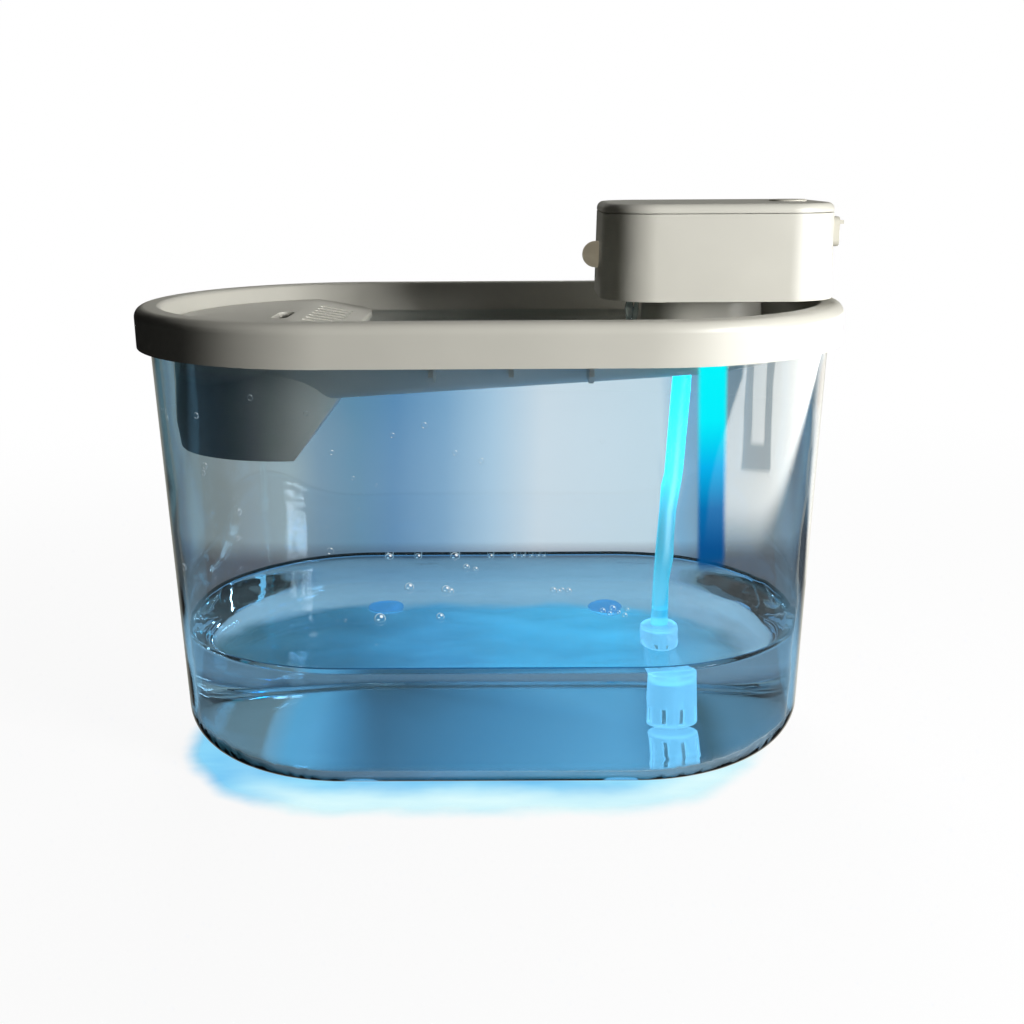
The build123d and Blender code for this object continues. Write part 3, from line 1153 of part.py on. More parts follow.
def make_strainer_cup():
    cup = post(strainer_x, strainer_y, strainer_bottom, strainer_cup_top, STRAINER_RADIUS)
    cup = fillet(cup.faces().sort_by(Axis.Z)[0].edges(), STRAINER_CUP_ROUND)
    cup -= post(strainer_x, strainer_y, strainer_bottom + STRAINER_WALL, strainer_cup_top + CUT,
                STRAINER_RADIUS - STRAINER_WALL)
    slot_z = strainer_bottom + STRAINER_WALL + STRAINER_SLOT_RISE
    for i in range(STRAINER_SLOTS):
        slot = block(STRAINER_RADIUS - 2 * STRAINER_WALL, STRAINER_RADIUS + CUT, -STRAINER_SLOT_WIDTH / 2,
                     STRAINER_SLOT_WIDTH / 2, slot_z, slot_z + STRAINER_SLOT_HEIGHT)
        cup -= Pos(strainer_x, strainer_y, 0) * Rot(0, 0, (i + 0.5) * 360 / STRAINER_SLOTS) * slot
    return cup


def make_strainer_sponge():
    return post(strainer_x, strainer_y, strainer_bottom + STRAINER_WALL + FIT_GAP,
                strainer_cup_top - STRAINER_PLUG - SPONGE_GAP, STRAINER_RADIUS - STRAINER_WALL - FIT_GAP)


# ---------------------------------------------------------------- all nodes
nodes = {
    "tank": make_tank(),
    "drinking_tray": make_tray(),
    "filter_cover": make_filter_cover(),
    "cartridge_frame": make_cartridge_frame(),
    "cartridge_media": make_cartridge_media(),
    "head_shell": make_head_shell(),
    "top_cap": make_top_cap(),
    "base_plate": make_base_plate(),
    "base_gasket": make_base_gasket(),
    "base_screws": make_base_screws(),
    "mode_button": make_mode_button(),
    "port_cover": make_port_cover(),
    "port_cover_anchor": make_port_anchor(),
    "sensor_lens": make_sensor_lens(),
    "sensor_can": make_sensor_can(),
    "sensor_board": make_sensor_board(),
    "control_board": make_board(),
    "board_screws": make_board_screws(),
    "tact_switch": make_tact_switch(),
    "usb_socket": make_usb_socket(),
    "battery_cell": make_battery(),
    "battery_cradle": make_cradle(),
    "night_light_lens": make_light_lens(),
    "night_light_led": make_light_led(),
    "motor_can": make_motor_can(),
    "motor_shaft": make_motor_shaft(),
    "drive_gear": make_drive_gear(),
    "driven_gear": make_driven_gear(),
    "idler_pin": make_idler_pin(),
    "pump_body": make_pump_body(),
    "pump_plate": make_pump_plate(),
    "pump_gasket": make_pump_gasket(),
    "pump_screws": make_pump_screws(),
    "shaft_seal": make_shaft_seal(),
    "suction_nipple": make_suction_nipple(),
    "spout_nozzle": make_spout_nozzle(),
    "suction_hose": make_hose(),
    "strainer_cap": make_strainer_cap(),
    "strainer_cup": make_strainer_cup(),
    "strainer_sponge": make_strainer_sponge(),
}
for foot_name, (foot_x, foot_y) in foot_places.items():
    nodes[foot_name] = make_foot(foot_x, foot_y)

os.makedirs("parts", exist_ok=True)
for name, shape in nodes.items():
    if isinstance(shape, list):
        shape = Compound(children=shape)
    export_step(shape, "parts/%s.step" % name)
print(len(nodes), "nodes written")
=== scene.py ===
# %% [markdown]
# # A pet water fountain, finished in Blender
#
# The fountain is a clear smoky tank, a grey moulded drinking tray on top of it and a small
# battery head that lifts water through a hose and pours it into the tray. The CAD model gives
# every piece its true size. This notebook gives each one its finish, fills the tank with
# water, lets it run, and sets the studio round it.

import math
import random

import bmesh
import bpy
from mathutils import Matrix, Vector, geometry, kdtree, noise
from mathutils.bvhtree import BVHTree


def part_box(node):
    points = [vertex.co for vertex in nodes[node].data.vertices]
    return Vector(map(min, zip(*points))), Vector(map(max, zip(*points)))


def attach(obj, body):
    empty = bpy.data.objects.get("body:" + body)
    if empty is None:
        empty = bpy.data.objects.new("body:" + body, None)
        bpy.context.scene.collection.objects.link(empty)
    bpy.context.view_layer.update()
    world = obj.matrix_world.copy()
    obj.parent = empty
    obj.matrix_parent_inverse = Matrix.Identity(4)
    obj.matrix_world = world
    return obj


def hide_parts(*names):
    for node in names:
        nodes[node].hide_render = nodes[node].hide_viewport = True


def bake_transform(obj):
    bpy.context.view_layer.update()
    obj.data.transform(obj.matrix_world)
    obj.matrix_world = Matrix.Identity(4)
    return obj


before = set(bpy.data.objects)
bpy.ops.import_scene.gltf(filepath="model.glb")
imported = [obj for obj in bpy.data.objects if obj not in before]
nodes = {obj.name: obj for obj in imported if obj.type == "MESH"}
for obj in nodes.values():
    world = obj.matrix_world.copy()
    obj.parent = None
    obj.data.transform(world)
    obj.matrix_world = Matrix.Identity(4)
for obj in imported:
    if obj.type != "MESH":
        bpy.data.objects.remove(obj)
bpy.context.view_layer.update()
MM = 0.001
scene = bpy.context.scene
print("pieces in the frame:", len(nodes))

# %% [markdown]
# ## Colours
#
# Colours are written as the sRGB hex values a painter would pick. Blender's shaders work in
# linear light, so one function converts them, and every colour below goes through it.


# %% Colour function
def linear(hexcode, alpha=1.0):
    """An sRGB hex colour as a linear RGBA tuple."""
    channels = [int(hexcode[i : i + 2], 16) / 255 for i in (1, 3, 5)]
    light = [c / 12.92 if c <= 0.04045 else ((c + 0.055) / 1.055) ** 2.4 for c in channels]
    return (*light, alpha)


print("mid grey #808080 is", round(linear("#808080")[0], 3), "in linear light")


# %% Object helper
def object_from(data, *materials):
    """A linked object at the origin, named as its data, with these materials."""
    made = bpy.data.objects.new(data.name, data)
    scene.collection.objects.link(made)
    for material in materials:
        data.materials.append(material)
    return made


# %% [markdown]
# ## Camera
#
# The fountain is seen from a little above its rim, square on to the long side. The lens is
# just longer than normal, so the front and back of the rim open into a clear ellipse.

# %% Camera
CAMERA_PLACE = Vector((9.74, -447.24, 208.82)) * MM
CAMERA_PITCH = math.radians(15.58)
CAMERA_YAW = -0.0046
CAMERA_ROLL = -0.006
CAMERA_LENS = 43.35

camera_data = bpy.data.cameras.new("studio_camera")
camera_data.sensor_width = 36
camera_data.lens = CAMERA_LENS
camera_data.clip_start = 0.01
camera = object_from(camera_data)
camera.matrix_world = (
    Matrix.Translation(CAMERA_PLACE)
    @ Matrix.Rotation(-CAMERA_YAW, 4, "Z")
    @ Matrix.Rotation(math.pi / 2 - CAMERA_PITCH, 4, "X")
    @ Matrix.Rotation(CAMERA_ROLL, 4, "Z")
)
scene.camera = camera
scene.view_settings.view_transform = "Standard"
print("camera at", [round(v / MM, 1) for v in CAMERA_PLACE], "mm")


# %% [markdown]
# ## Helpers for node trees
#
# Every material is a small graph of nodes. One function adds a node, sets its properties and
# inputs, and makes its links, so each material below reads as a list of what it is made of.
# The kinds of node that return again and again have a short helper each.


# %% Node helpers
def put(tree, kind, settings=None, **inputs):
    """Adds a node. An input is a value, a socket, or a node, which gives its first output.

    _ stands for a space in an input's name, and _3 is the input at place 3. A hex colour goes
    through linear.
    """
    node = tree.nodes.new(kind)
    for name, value in (settings or {}).items():
        setattr(node, name, value)
    for name, value in inputs.items():
        key = int(name[1:]) if name[0] == "_" else name.replace("_", " ")
        if isinstance(value, bpy.types.Node):
            value = value.outputs[0]
        elif isinstance(value, str) and value[0] == "#":
            value = linear(value)
        if isinstance(value, bpy.types.NodeSocket):
            tree.links.new(value, node.inputs[key])
        else:
            node.inputs[key].default_value = value
    return node


def sums(tree, operation, *values):
    """A Math node on one to three values."""
    inputs = {"_" + str(place): value for place, value in enumerate(values)}
    return put(tree, "ShaderNodeMath", {"operation": operation}, **inputs)


def span(tree, value, low=0.0, high=1.0, to_low=0.0, to_high=1.0, kind="LINEAR"):
    """Maps low to high onto to_low to to_high, and holds the ends."""
    return put(tree, "ShaderNodeMapRange", {"interpolation_type": kind},
               _0=value, _1=low, _2=high, _3=to_low, _4=to_high)


def ease(tree, value, low, high, to_low=0.0, to_high=1.0):
    """The same, with a soft start and end."""
    return span(tree, value, low, high, to_low, to_high, "SMOOTHSTEP")


def mixed(tree, share, first, second, blend="MIX"):
    """Two colours mixed by share."""
    return put(tree, "ShaderNodeMix", {"data_type": "RGBA", "blend_type": blend},
               _0=share, _6=first, _7=second).outputs[2]


def cross_fade(tree, share, first, second):
    """Two shaders mixed by share."""
    return put(tree, "ShaderNodeMixShader", _0=share, _1=first, _2=second)


def emission(tree, colour, strength=1.0):
    """A surface that shines by itself."""
    return put(tree, "ShaderNodeEmission", Color=colour, Strength=strength)


def object_place(tree):
    """Where a point lies in its object's own frame, in metres."""
    return put(tree, "ShaderNodeTexCoord").outputs["Object"]


def parts(tree, vector):
    """A vector's X, Y and Z."""
    return put(tree, "ShaderNodeSeparateXYZ", Vector=vector).outputs


def length(tree, vector):
    """A vector's length."""
    return put(tree, "ShaderNodeVectorMath", {"operation": "LENGTH"}, _0=vector).outputs["Value"]


def dot(tree, vector, way):
    """How far a vector goes along a fixed way."""
    return put(tree, "ShaderNodeVectorMath", {"operation": "DOT_PRODUCT"},
               _0=vector, _1=way).outputs["Value"]


def noise_field(tree, place, size, detail):
    """Smooth noise whose features are about size millimetres wide."""
    return put(tree, "ShaderNodeTexNoise", Vector=place, Scale=1 / (size * MM), Detail=detail)


def new_material(name):
    """An empty material: returns it and its node tree."""
    material = bpy.data.materials.new(name)
    material.use_nodes = True
    material.node_tree.nodes.clear()
    return material, material.node_tree


def finish_material(tree, shader):
    """Joins a shader to the material's output."""
    put(tree, "ShaderNodeOutputMaterial", Surface=shader)


def carry(mesh, name, values):
    """Gives each point of a mesh a number."""
    for item, value in zip(mesh.attributes.new(name, "FLOAT", "POINT").data, values):
        item.value = value


def unseen_by(thing, *rays):
    """Hides a lamp or a piece of the set from these kinds of rays."""
    for ray in rays:
        setattr(thing, "visible_" + ray, False)


# %% [markdown]
# ## Hose
#
# A plain silicone hose hangs from the pump's nipple into the water. It is a curve with a round
# bevel, because a curve keeps its length and thickness exact wherever the route bends. Each
# point carries the hose's radius and the bevel is one metre deep, which gives that radius, and
# the curve's own box then fits the hose. It enters the head at its top and the strainer's nipple
# at its foot.

# %% Hose
HOSE_ROUTE = [
    (71.0, 0.0, 167.6),
    (71.0, 0.0, 146.0),
    (69.4, 0.4, 120.0),
    (66.9, 0.5, 92.0),
    (65.0, 0.3, 64.0),
    (64.3, 0.0, 44.0),
    (64.3, 0.0, 28.0),
]
HOSE_DIAMETER = 6.8

hose_curve = bpy.data.curves.new("silicone_hose", "CURVE")
hose_curve.dimensions = "3D"
hose_line = hose_curve.splines.new("NURBS")
hose_line.points.add(len(HOSE_ROUTE) - 1)
for point, place in zip(hose_line.points, HOSE_ROUTE):
    point.co = (*(v * MM for v in place), 1)
    point.radius = HOSE_DIAMETER / 2 * MM
hose_line.order_u = 3
hose_line.use_endpoint_u = True
hose_line.resolution_u = 12
hose_curve.bevel_depth = 1.0
hose_curve.bevel_resolution = 6
hose_curve.use_fill_caps = True
hose = object_from(hose_curve)
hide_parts("suction_hose")
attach(hose, "head")
print("hose route points:", len(HOSE_ROUTE))

# %% [markdown]
# ## Floor and light
#
# A large white floor runs under the fountain. Two lamps light it: a soft window low at the right
# front corner, and daylight off the ceiling behind it, which lights and shows in no reflection.
# The room at the left is dark, so the grey mouldings shade from bright on the right to nearly
# black round the left end. The world plays two parts. What is looked at straight or through
# clear pieces is a white backdrop, and what lights the object is a dim room, brighter towards
# the window's side. What the clear pieces mirror gets a share of the white, larger from the back
# than from the front, and takes its tone from how far sideways it leaves: that gives the water's
# sides their run from grey to pale blue.


# %% What is looked at
ONCE = 0.5  # a count of bounces above this is one or more
WHITE = (1.0, 1.0, 1.0, 1.0)
MIRRORED_FRONT = 0.35
MIRRORED_BACK = 0.96


def looked_at(tree, behind):
    """1 for what is seen straight or through clear pieces, and less once mirrored.

    behind is 1 at the back of the room, and mirrored light from there counts for more.
    """
    rays = put(tree, "ShaderNodeLightPath").outputs
    seen = sums(tree, "MAXIMUM", rays["Is Camera Ray"], rays["Is Transmission Ray"])
    plain = sums(tree, "LESS_THAN", rays["Diffuse Depth"], ONCE)
    direct = sums(tree, "LESS_THAN", rays["Glossy Depth"], ONCE)
    mirrored = span(tree, behind, to_low=MIRRORED_FRONT, to_high=MIRRORED_BACK)
    kept = sums(tree, "MULTIPLY", sums(tree, "MAXIMUM", direct, mirrored), plain)
    return sums(tree, "MULTIPLY", seen, kept)


def tone_ramp(tree, place, tones):
    """The colour that (place, tone) stops give at a place."""
    low, high = tones[0][0], tones[-1][0]
    ramp = put(tree, "ShaderNodeValToRGB", Fac=span(tree, place, low, high))
    stops = ramp.color_ramp.elements
    while len(stops) < len(tones):
        stops.new(1.0)
    for stop, (at, tone) in zip(stops, tones):
        stop.position = (at - low) / (high - low)
        stop.color = linear(tone)
    return ramp.outputs[0]


# %% World
WATER_TONES = [
    (-0.30, "#9ab4bd"), (-0.24, "#8ea6ad"), (-0.188, "#76898a"), (-0.123, "#6b8c9d"), (-0.05, "#86bcd4"),
    (0.031, "#a9e4fa"), (0.104, "#a8e9fe"), (0.182, "#cfe2e8"), (0.21, "#bdb6ac"), (0.30, "#b9b6ae"),
]
ROOM_RANGE = (0.0, 0.95)
ROOM_LIGHT = (0.004, 0.17)
WINDOW_SIDE = (0.9, 0.0, 0.3)

world = bpy.data.worlds.new("studio")
scene.world = world
world.use_nodes = True
world.node_tree.nodes.clear()
sky = world.node_tree
way = put(sky, "ShaderNodeTexCoord").outputs["Generated"]
part = parts(sky, way)
room = ease(sky, dot(sky, way, WINDOW_SIDE), *ROOM_RANGE, *ROOM_LIGHT)
to_back = sums(sky, "GREATER_THAN", part["Y"], 0.0)
strength = sums(sky, "MAXIMUM", looked_at(sky, to_back), room)
slope = sums(sky, "DIVIDE", part["X"], sums(sky, "ABSOLUTE", part["Y"]))
mirrored = sums(sky, "GREATER_THAN", put(sky, "ShaderNodeLightPath").outputs["Glossy Depth"], ONCE)
sky_colour = mixed(sky, mirrored, WHITE, tone_ramp(sky, slope, WATER_TONES))
backdrop = put(sky, "ShaderNodeBackground", Color=sky_colour, Strength=strength)
put(sky, "ShaderNodeOutputWorld", Surface=backdrop)


# %% Lamps
OBJECT_MIDDLE = Vector((0, 0, 0.11))
KEY_AZIMUTH = math.radians(50)
KEY_RISE = math.radians(15)
KEY_FAR = 0.75
KEY_SIZE = (0.2, 0.24)
KEY_POWER = 6.9
CEILING_PLACE = Vector((-0.1, 0.85, 0.5))
CEILING_SIZE = (0.5, 0.3)
CEILING_POWER = 6.0


def area_lamp(name, place, aim, size, power, colour="#ffffff"):
    """A square or oblong soft lamp at place, pointed at aim."""
    data = bpy.data.lights.new(name, "AREA")
    data.shape = "RECTANGLE"
    data.size, data.size_y = size
    data.energy = power
    data.color = linear(colour)[:3]
    lamp = object_from(data)
    lamp.location = place
    lamp.rotation_euler = (Vector(aim) - Vector(place)).to_track_quat("-Z", "Y").to_euler()
    return lamp


key_way = Vector((
    math.sin(KEY_AZIMUTH) * math.cos(KEY_RISE),
    -math.cos(KEY_AZIMUTH) * math.cos(KEY_RISE),
    math.sin(KEY_RISE),
))
key = area_lamp("window", OBJECT_MIDDLE + key_way * KEY_FAR, OBJECT_MIDDLE, KEY_SIZE, KEY_POWER)
print("key lamp at", [round(v / MM) for v in key.location], "mm")
ceiling = area_lamp("ceiling_daylight", CEILING_PLACE, OBJECT_MIDDLE, CEILING_SIZE, CEILING_POWER)
unseen_by(ceiling, "camera", "glossy", "transmission")

# %% [markdown]
# ## What the clear tank reflects
#
# Seen from above, a near upright clear wall mirrors what lies low beside it. A bright sheet lies
# on the floor at the right, the window's light on a table, seen only by glossy rays, so it
# lights nothing: it puts the curved window shape on the tank's round end. The sheet is a grid of
# points round the tank, and each point carries how brightly it shines: its near edge is soft and
# turns away on the far side, and a grey frame stands in it.

# %% Window sheet
SHEET_AZIMUTHS = (40, 150)
SHEET_RADII = (0.24, 1.8)
SHEET_GRID = (110, 60)
SHEET_HEIGHT = 2
WINDOW_SHINE = 9.5
WINDOW_FOOT = (0.33, 0.43)
WINDOW_LEFT = [(0.24, 43), (0.44, 44), (0.53, 47), (0.64, 53), (0.78, 59), (1.8, 66)]
WINDOW_SOFT = 2
WINDOW_TURN = 72
TURN_OVER = 50  # this many degrees past the turn, the near edge lies TURN_OUT metres further out
TURN_OUT = 0.42
FRAME_SHINE = 3.2
FRAME_BARS = [(63, 67, 0.5, 1.8), (77, 81, 0.5, 1.8), (63, 81, 0.5, 0.57)]
EDGE_SHINE = 2.2
EDGE_AZIMUTHS = (122, 132)


def smooth_step(value, low, high):
    """0 below low, 1 above high, with an eased rise between."""
    t = min(1.0, max(0.0, (value - low) / (high - low)))
    return t * t * (3 - 2 * t)


def along_steps(value, steps):
    """The value that straight lines through (place, value) steps have at a place."""
    for (low, first), (high, second) in zip(steps, steps[1:]):
        if value <= high:
            return first + (second - first) * (value - low) / (high - low)
    return steps[-1][1]


def window_shine(azimuth, radius):
    """How brightly the sheet shines at an azimuth (degrees) and a distance (m)."""
    near = WINDOW_FOOT[0] + TURN_OUT * (max(0, azimuth - WINDOW_TURN) / TURN_OVER) ** 2
    shine = WINDOW_SHINE * smooth_step(radius, near, near + WINDOW_FOOT[1] - WINDOW_FOOT[0])
    left = along_steps(radius, WINDOW_LEFT)
    shine *= smooth_step(azimuth, left, left + WINDOW_SOFT)
    for first, last, inner, outer in FRAME_BARS:
        if first <= azimuth <= last and inner <= radius <= outer:
            shine = min(shine, FRAME_SHINE)
    return max(shine, EDGE_SHINE * smooth_step(azimuth, *EDGE_AZIMUTHS))


sheet_points, sheet_faces, sheet_shine = [], [], []
columns, rows = SHEET_GRID
for i in range(columns + 1):
    azimuth = SHEET_AZIMUTHS[0] + (SHEET_AZIMUTHS[1] - SHEET_AZIMUTHS[0]) * i / columns
    for j in range(rows + 1):
        radius = SHEET_RADII[0] * (SHEET_RADII[1] / SHEET_RADII[0]) ** (j / rows)
        a = math.radians(azimuth)
        sheet_points.append((radius * math.sin(a), -radius * math.cos(a), SHEET_HEIGHT * MM))
        sheet_shine.append(window_shine(azimuth, radius))
        if i and j:
            k = i * (rows + 1) + j
            sheet_faces.append((k - rows - 2, k - 1, k, k - rows - 1))
sheet_mesh = bpy.data.meshes.new("window_sheet")
sheet_mesh.from_pydata(sheet_points, [], sheet_faces)
carry(sheet_mesh, "shine", sheet_shine)
# Daylight on a pale table: a warm white that shines as brightly as each point says.
window_glow, tree = new_material("window_daylight")
shine = put(tree, "ShaderNodeAttribute", {"attribute_name": "shine"}).outputs["Fac"]
finish_material(tree, emission(tree, "#fffcf4", shine))
sheet = object_from(sheet_mesh, window_glow)
unseen_by(sheet, "camera", "diffuse", "transmission", "volume_scatter", "shadow")
print("window sheet faces:", len(sheet_faces))

# %% Floor
FLOOR_HALF_SIDE = 3.0
FLOOR_DROP = 0.03
floor_mesh = bpy.data.meshes.new("studio_floor")
corners = [(-1, -1), (1, -1), (1, 1), (-1, 1)]
corners = [(x * FLOOR_HALF_SIDE, y * FLOOR_HALF_SIDE, -FLOOR_DROP * MM) for x, y in corners]
floor_mesh.from_pydata(corners, [], [(0, 1, 2, 3)])
floor = object_from(floor_mesh)

# %% [markdown]
# ## Blue light on the floor
#
# The head's night light shines down through the water and the clear tank, and lands on the
# floor as a pool of blue: a smooth band that hugs the tank's foot, bluest close to it and
# nearly white at its edge. It is painted on the floor from one long round-ended outline, with
# soft streaks in it. The floor is white everywhere else, and keeps the shadow. Seen through the
# tank, the floor behind it takes the room's tones, a grey side, a blue middle and a bright side,
# which fan out from a fixed point in front, with two painted shadow bands across, and the pool
# takes deeper tones of its own. In a reflection the floor is bluish.

# %% Floor paint
POOL_MIDDLE = (-7.0, -12.0)
POOL_HALF_LENGTH = 108.5
POOL_HALF_DEPTH = 64.0
POOL_FADE = (-6.0, 4.0)
POOL_BLUE_TO = (-24.0, -9.0)
POOL_BLUE_END = (-100.0, -62.0)
POOL_BLUES = ("#74c4f3", "#9be4ff")
POOL_PALES = ("#c9f2fd", "#dffdff")
WANDER_SIZE = 22.0
WANDER = 10.0
STREAK_SIZE = 26.0
STREAK_STRETCH = (0.5, 1.3, 1.0)
STREAK_RANGE = (0.35, 0.68)
NEAR_WHITE = 0.92
FAR_RANGE = (0.25, 0.75)
SHADE_PAINT = "#4a4a4a"
WHITE_PAINT = "#f4f4f4"
MIRRORED_TINT = "#9fdcff"
ROOM_TONES = [
    (-0.30, "#8f9389"), (-0.253, "#959993"), (-0.22, "#a6adab"), (-0.188, "#afbdbd"), (-0.156, "#88a4b5"),
    (-0.123, "#729eb7"), (-0.091, "#6e9ec4"), (-0.05, "#94bddb"), (-0.01, "#cde6f6"), (0.031, "#fbfeff"),
    (0.13, "#f0fcff"), (0.155, "#8ec4e4"), (0.19, "#8fa3ad"), (0.24, "#8d9698"),
]
ROOM_BACK = (0.05, 0.12)
DEEP_TONES = [
    (-0.24, "#52787a"), (-0.188, "#52828c"), (-0.123, "#5b95a8"), (-0.05, "#76c2dd"), (0.02, "#72d6ee"),
    (0.104, "#6de3fa"), (0.15, "#80c4d4"), (0.182, "#90b8bf"), (0.22, "#97a19d"),
]
DEEP_LIGHT = 1.5
DEEP_SWING = 0.18
# Two painted shadow bands cross the floor behind the tank, as seen through it.
BACK_BANDS = [((0.055, 0.06, 0.20, 0.24), "#d6d4d8"), ((0.0765, 0.080, 0.20, 0.24), "#b3a2a2")]

# Matt white paint with a white glow in it: near the object part of it takes the shadow, and
# further out it is plain white, so no horizon shows.
floor_paint, tree = new_material("floor_matt_white_paint")
place = object_place(tree)
axes = parts(tree, place)
along = sums(tree, "ABSOLUTE", sums(tree, "SUBTRACT", axes["X"], POOL_MIDDLE[0] * MM))
past = sums(tree, "SUBTRACT", along, (POOL_HALF_LENGTH - POOL_HALF_DEPTH) * MM)
past = sums(tree, "MAXIMUM", past, 0.0)
across = sums(tree, "SUBTRACT", axes["Y"], POOL_MIDDLE[1] * MM)
reach = length(tree, put(tree, "ShaderNodeCombineXYZ", X=past, Y=across))
wander = noise_field(tree, place, WANDER_SIZE, 3.0)
wander = sums(tree, "MULTIPLY_ADD", wander, -WANDER * MM, WANDER / 2 * MM)
edge = sums(tree, "ADD", reach, wander)


def within_pool(steps, inner, outer):
    """inner to outer across two distances from the pool's outline, in millimetres."""
    low, high = ((POOL_HALF_DEPTH + step) * MM for step in steps)
    return ease(tree, edge, low, high, inner, outer)


pool = within_pool(POOL_FADE, 1.0, 0.0)
blue_end = ease(tree, axes["X"], POOL_BLUE_END[0] * MM, POOL_BLUE_END[1] * MM)
pale = sums(tree, "MULTIPLY", within_pool(POOL_BLUE_TO, 0.0, 1.0), blue_end)
streak = put(tree, "ShaderNodeVectorMath", {"operation": "MULTIPLY"}, _0=place, _1=STREAK_STRETCH)
light = span(tree, noise_field(tree, streak, STREAK_SIZE, 3.0), *STREAK_RANGE)
blue_side = mixed(tree, light, POOL_BLUES[0], POOL_BLUES[1])
pale_side = mixed(tree, light, POOL_PALES[0], POOL_PALES[1])
pool_colour = mixed(tree, pale, blue_side, pale_side)

rays = put(tree, "ShaderNodeLightPath").outputs
bearing = sums(tree, "DIVIDE", axes["X"], sums(tree, "SUBTRACT", axes["Y"], CAMERA_PLACE.y))
far_back = span(tree, axes["Y"], *ROOM_BACK)
through_tank = sums(tree, "MULTIPLY", rays["Is Transmission Ray"], far_back)
room = tone_ramp(tree, bearing, ROOM_TONES)
for (rise_from, rise_to, fall_from, fall_to), tone in BACK_BANDS:
    rise = span(tree, axes["Y"], rise_from, rise_to)
    fall = span(tree, axes["Y"], fall_from, fall_to, 1.0, 0.0)
    room = mixed(tree, sums(tree, "MULTIPLY", rise, fall), room, tone, "MULTIPLY")
white = mixed(tree, through_tank, WHITE, room)
deep_light = span(tree, light, to_low=(1 - DEEP_SWING) * DEEP_LIGHT, to_high=(1 + DEEP_SWING) * DEEP_LIGHT)
deep = put(tree, "ShaderNodeVectorMath", {"operation": "SCALE"},
           _0=tone_ramp(tree, bearing, DEEP_TONES), Scale=deep_light)
pool_colour = mixed(tree, rays["Is Transmission Ray"], pool_colour, deep)
white_or_pool = mixed(tree, pool, white, pool_colour)

seen = looked_at(tree, sums(tree, "GREATER_THAN", axes["Y"], 0.0))
far = ease(tree, length(tree, place), *FAR_RANGE, NEAR_WHITE, 1.0)
share = sums(tree, "MULTIPLY", sums(tree, "MAXIMUM", far, pool), seen)
paint = put(tree, "ShaderNodeBsdfDiffuse", Color=mixed(tree, seen, SHADE_PAINT, WHITE_PAINT))
mirrored = sums(tree, "GREATER_THAN", rays["Glossy Depth"], ONCE)
toned = mixed(tree, mirrored, white_or_pool, MIRRORED_TINT, "MULTIPLY")
finish_material(tree, cross_fade(tree, share, paint, emission(tree, toned)))
floor_mesh.materials.append(floor_paint)

# %% [markdown]
# ## The fountain's own lamps
#
# A small blue lamp at the head's lens shines down and rides with the head. A second, wider
# lamp hangs inside the tank and shines up: it stands for the light that the lit water throws
# on the tray's underside, and it shows in no reflection.

# %% Night light
NIGHT_PLACE = Vector((86.0, 0.0, 164.5)) * MM
NIGHT_WAY = Vector((-0.15, 0, -1))
NIGHT_SIZE = (0.009, 0.009)
GLOW_PLACE = Vector((30.0, 0.0, 58.0)) * MM
GLOW_WAY = Vector((0, 0, 1))
GLOW_SIZE = (0.11, 0.08)
GLOW_SPREAD = math.radians(110)
INSIDE_POWER = 0.05

night = area_lamp("night_light", NIGHT_PLACE, NIGHT_PLACE + NIGHT_WAY, NIGHT_SIZE, INSIDE_POWER,
                  "#1f9dff")
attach(night, "head")
print("night light at", [round(v / MM, 1) for v in NIGHT_PLACE], "mm")
glow = area_lamp("light_off_the_water", GLOW_PLACE, GLOW_PLACE + GLOW_WAY, GLOW_SIZE, INSIDE_POWER,
                 "#9fd4ff")
glow.data.spread = GLOW_SPREAD
unseen_by(glow, "camera", "glossy", "transmission")
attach(glow, "tank_body")

# %% [markdown]
# ## Clean shading for the CAD pieces
#
# A CAD node arrives as loose triangles, so it would shade flat. A small Geometry Nodes tree
# joins the corners, shades the faces smooth and keeps each edge sharp where its faces meet at
# more than a set angle. A Weighted Normal modifier after it lets the large flat faces win over
# the thin fillets beside them, which is what keeps a moulded face looking flat.


# %% Shading tree
SHARP_ANGLE = math.radians(28)
MERGE_DISTANCE = 0.01 * MM


def geometry_tree(name, **inputs):
    """A Geometry Nodes tree with these inputs besides its mesh: returns it and their sockets."""
    tree = bpy.data.node_groups.new(name, "GeometryNodeTree")
    face = tree.interface
    face.new_socket("Geometry", in_out="INPUT", socket_type="NodeSocketGeometry")
    for label, value in inputs.items():
        kind = "NodeSocketInt" if isinstance(value, int) else "NodeSocketFloat"
        label = label.replace("_", " ")
        face.new_socket(label, in_out="INPUT", socket_type=kind).default_value = value
    face.new_socket("Geometry", in_out="OUTPUT", socket_type="NodeSocketGeometry")
    return tree, put(tree, "NodeGroupInput").outputs


tree, start = geometry_tree("smooth_moulding", Sharp_Angle=SHARP_ANGLE, Merge_Distance=MERGE_DISTANCE)
joined = put(tree, "GeometryNodeMergeByDistance", Geometry=start["Geometry"],
             Distance=start["Merge Distance"])
smooth = put(tree, "GeometryNodeSetShadeSmooth", {"domain": "FACE"}, Geometry=joined, Shade_Smooth=True)
sharp = put(tree, "FunctionNodeCompare", {"data_type": "FLOAT", "operation": "LESS_THAN"},
            _0=put(tree, "GeometryNodeInputMeshEdgeAngle").outputs["Unsigned Angle"],
            _1=start["Sharp Angle"])
edges = put(tree, "GeometryNodeSetShadeSmooth", {"domain": "EDGE"}, Geometry=smooth, Shade_Smooth=sharp)
put(tree, "NodeGroupOutput", Geometry=edges)
for name, node in nodes.items():
    shade = node.modifiers.new("smooth_moulding", "NODES")
    shade.node_group = tree
    weigh = node.modifiers.new("flat_faces_first", "WEIGHTED_NORMAL")
    weigh.keep_sharp = True
print("shaded", len(nodes), "CAD nodes")
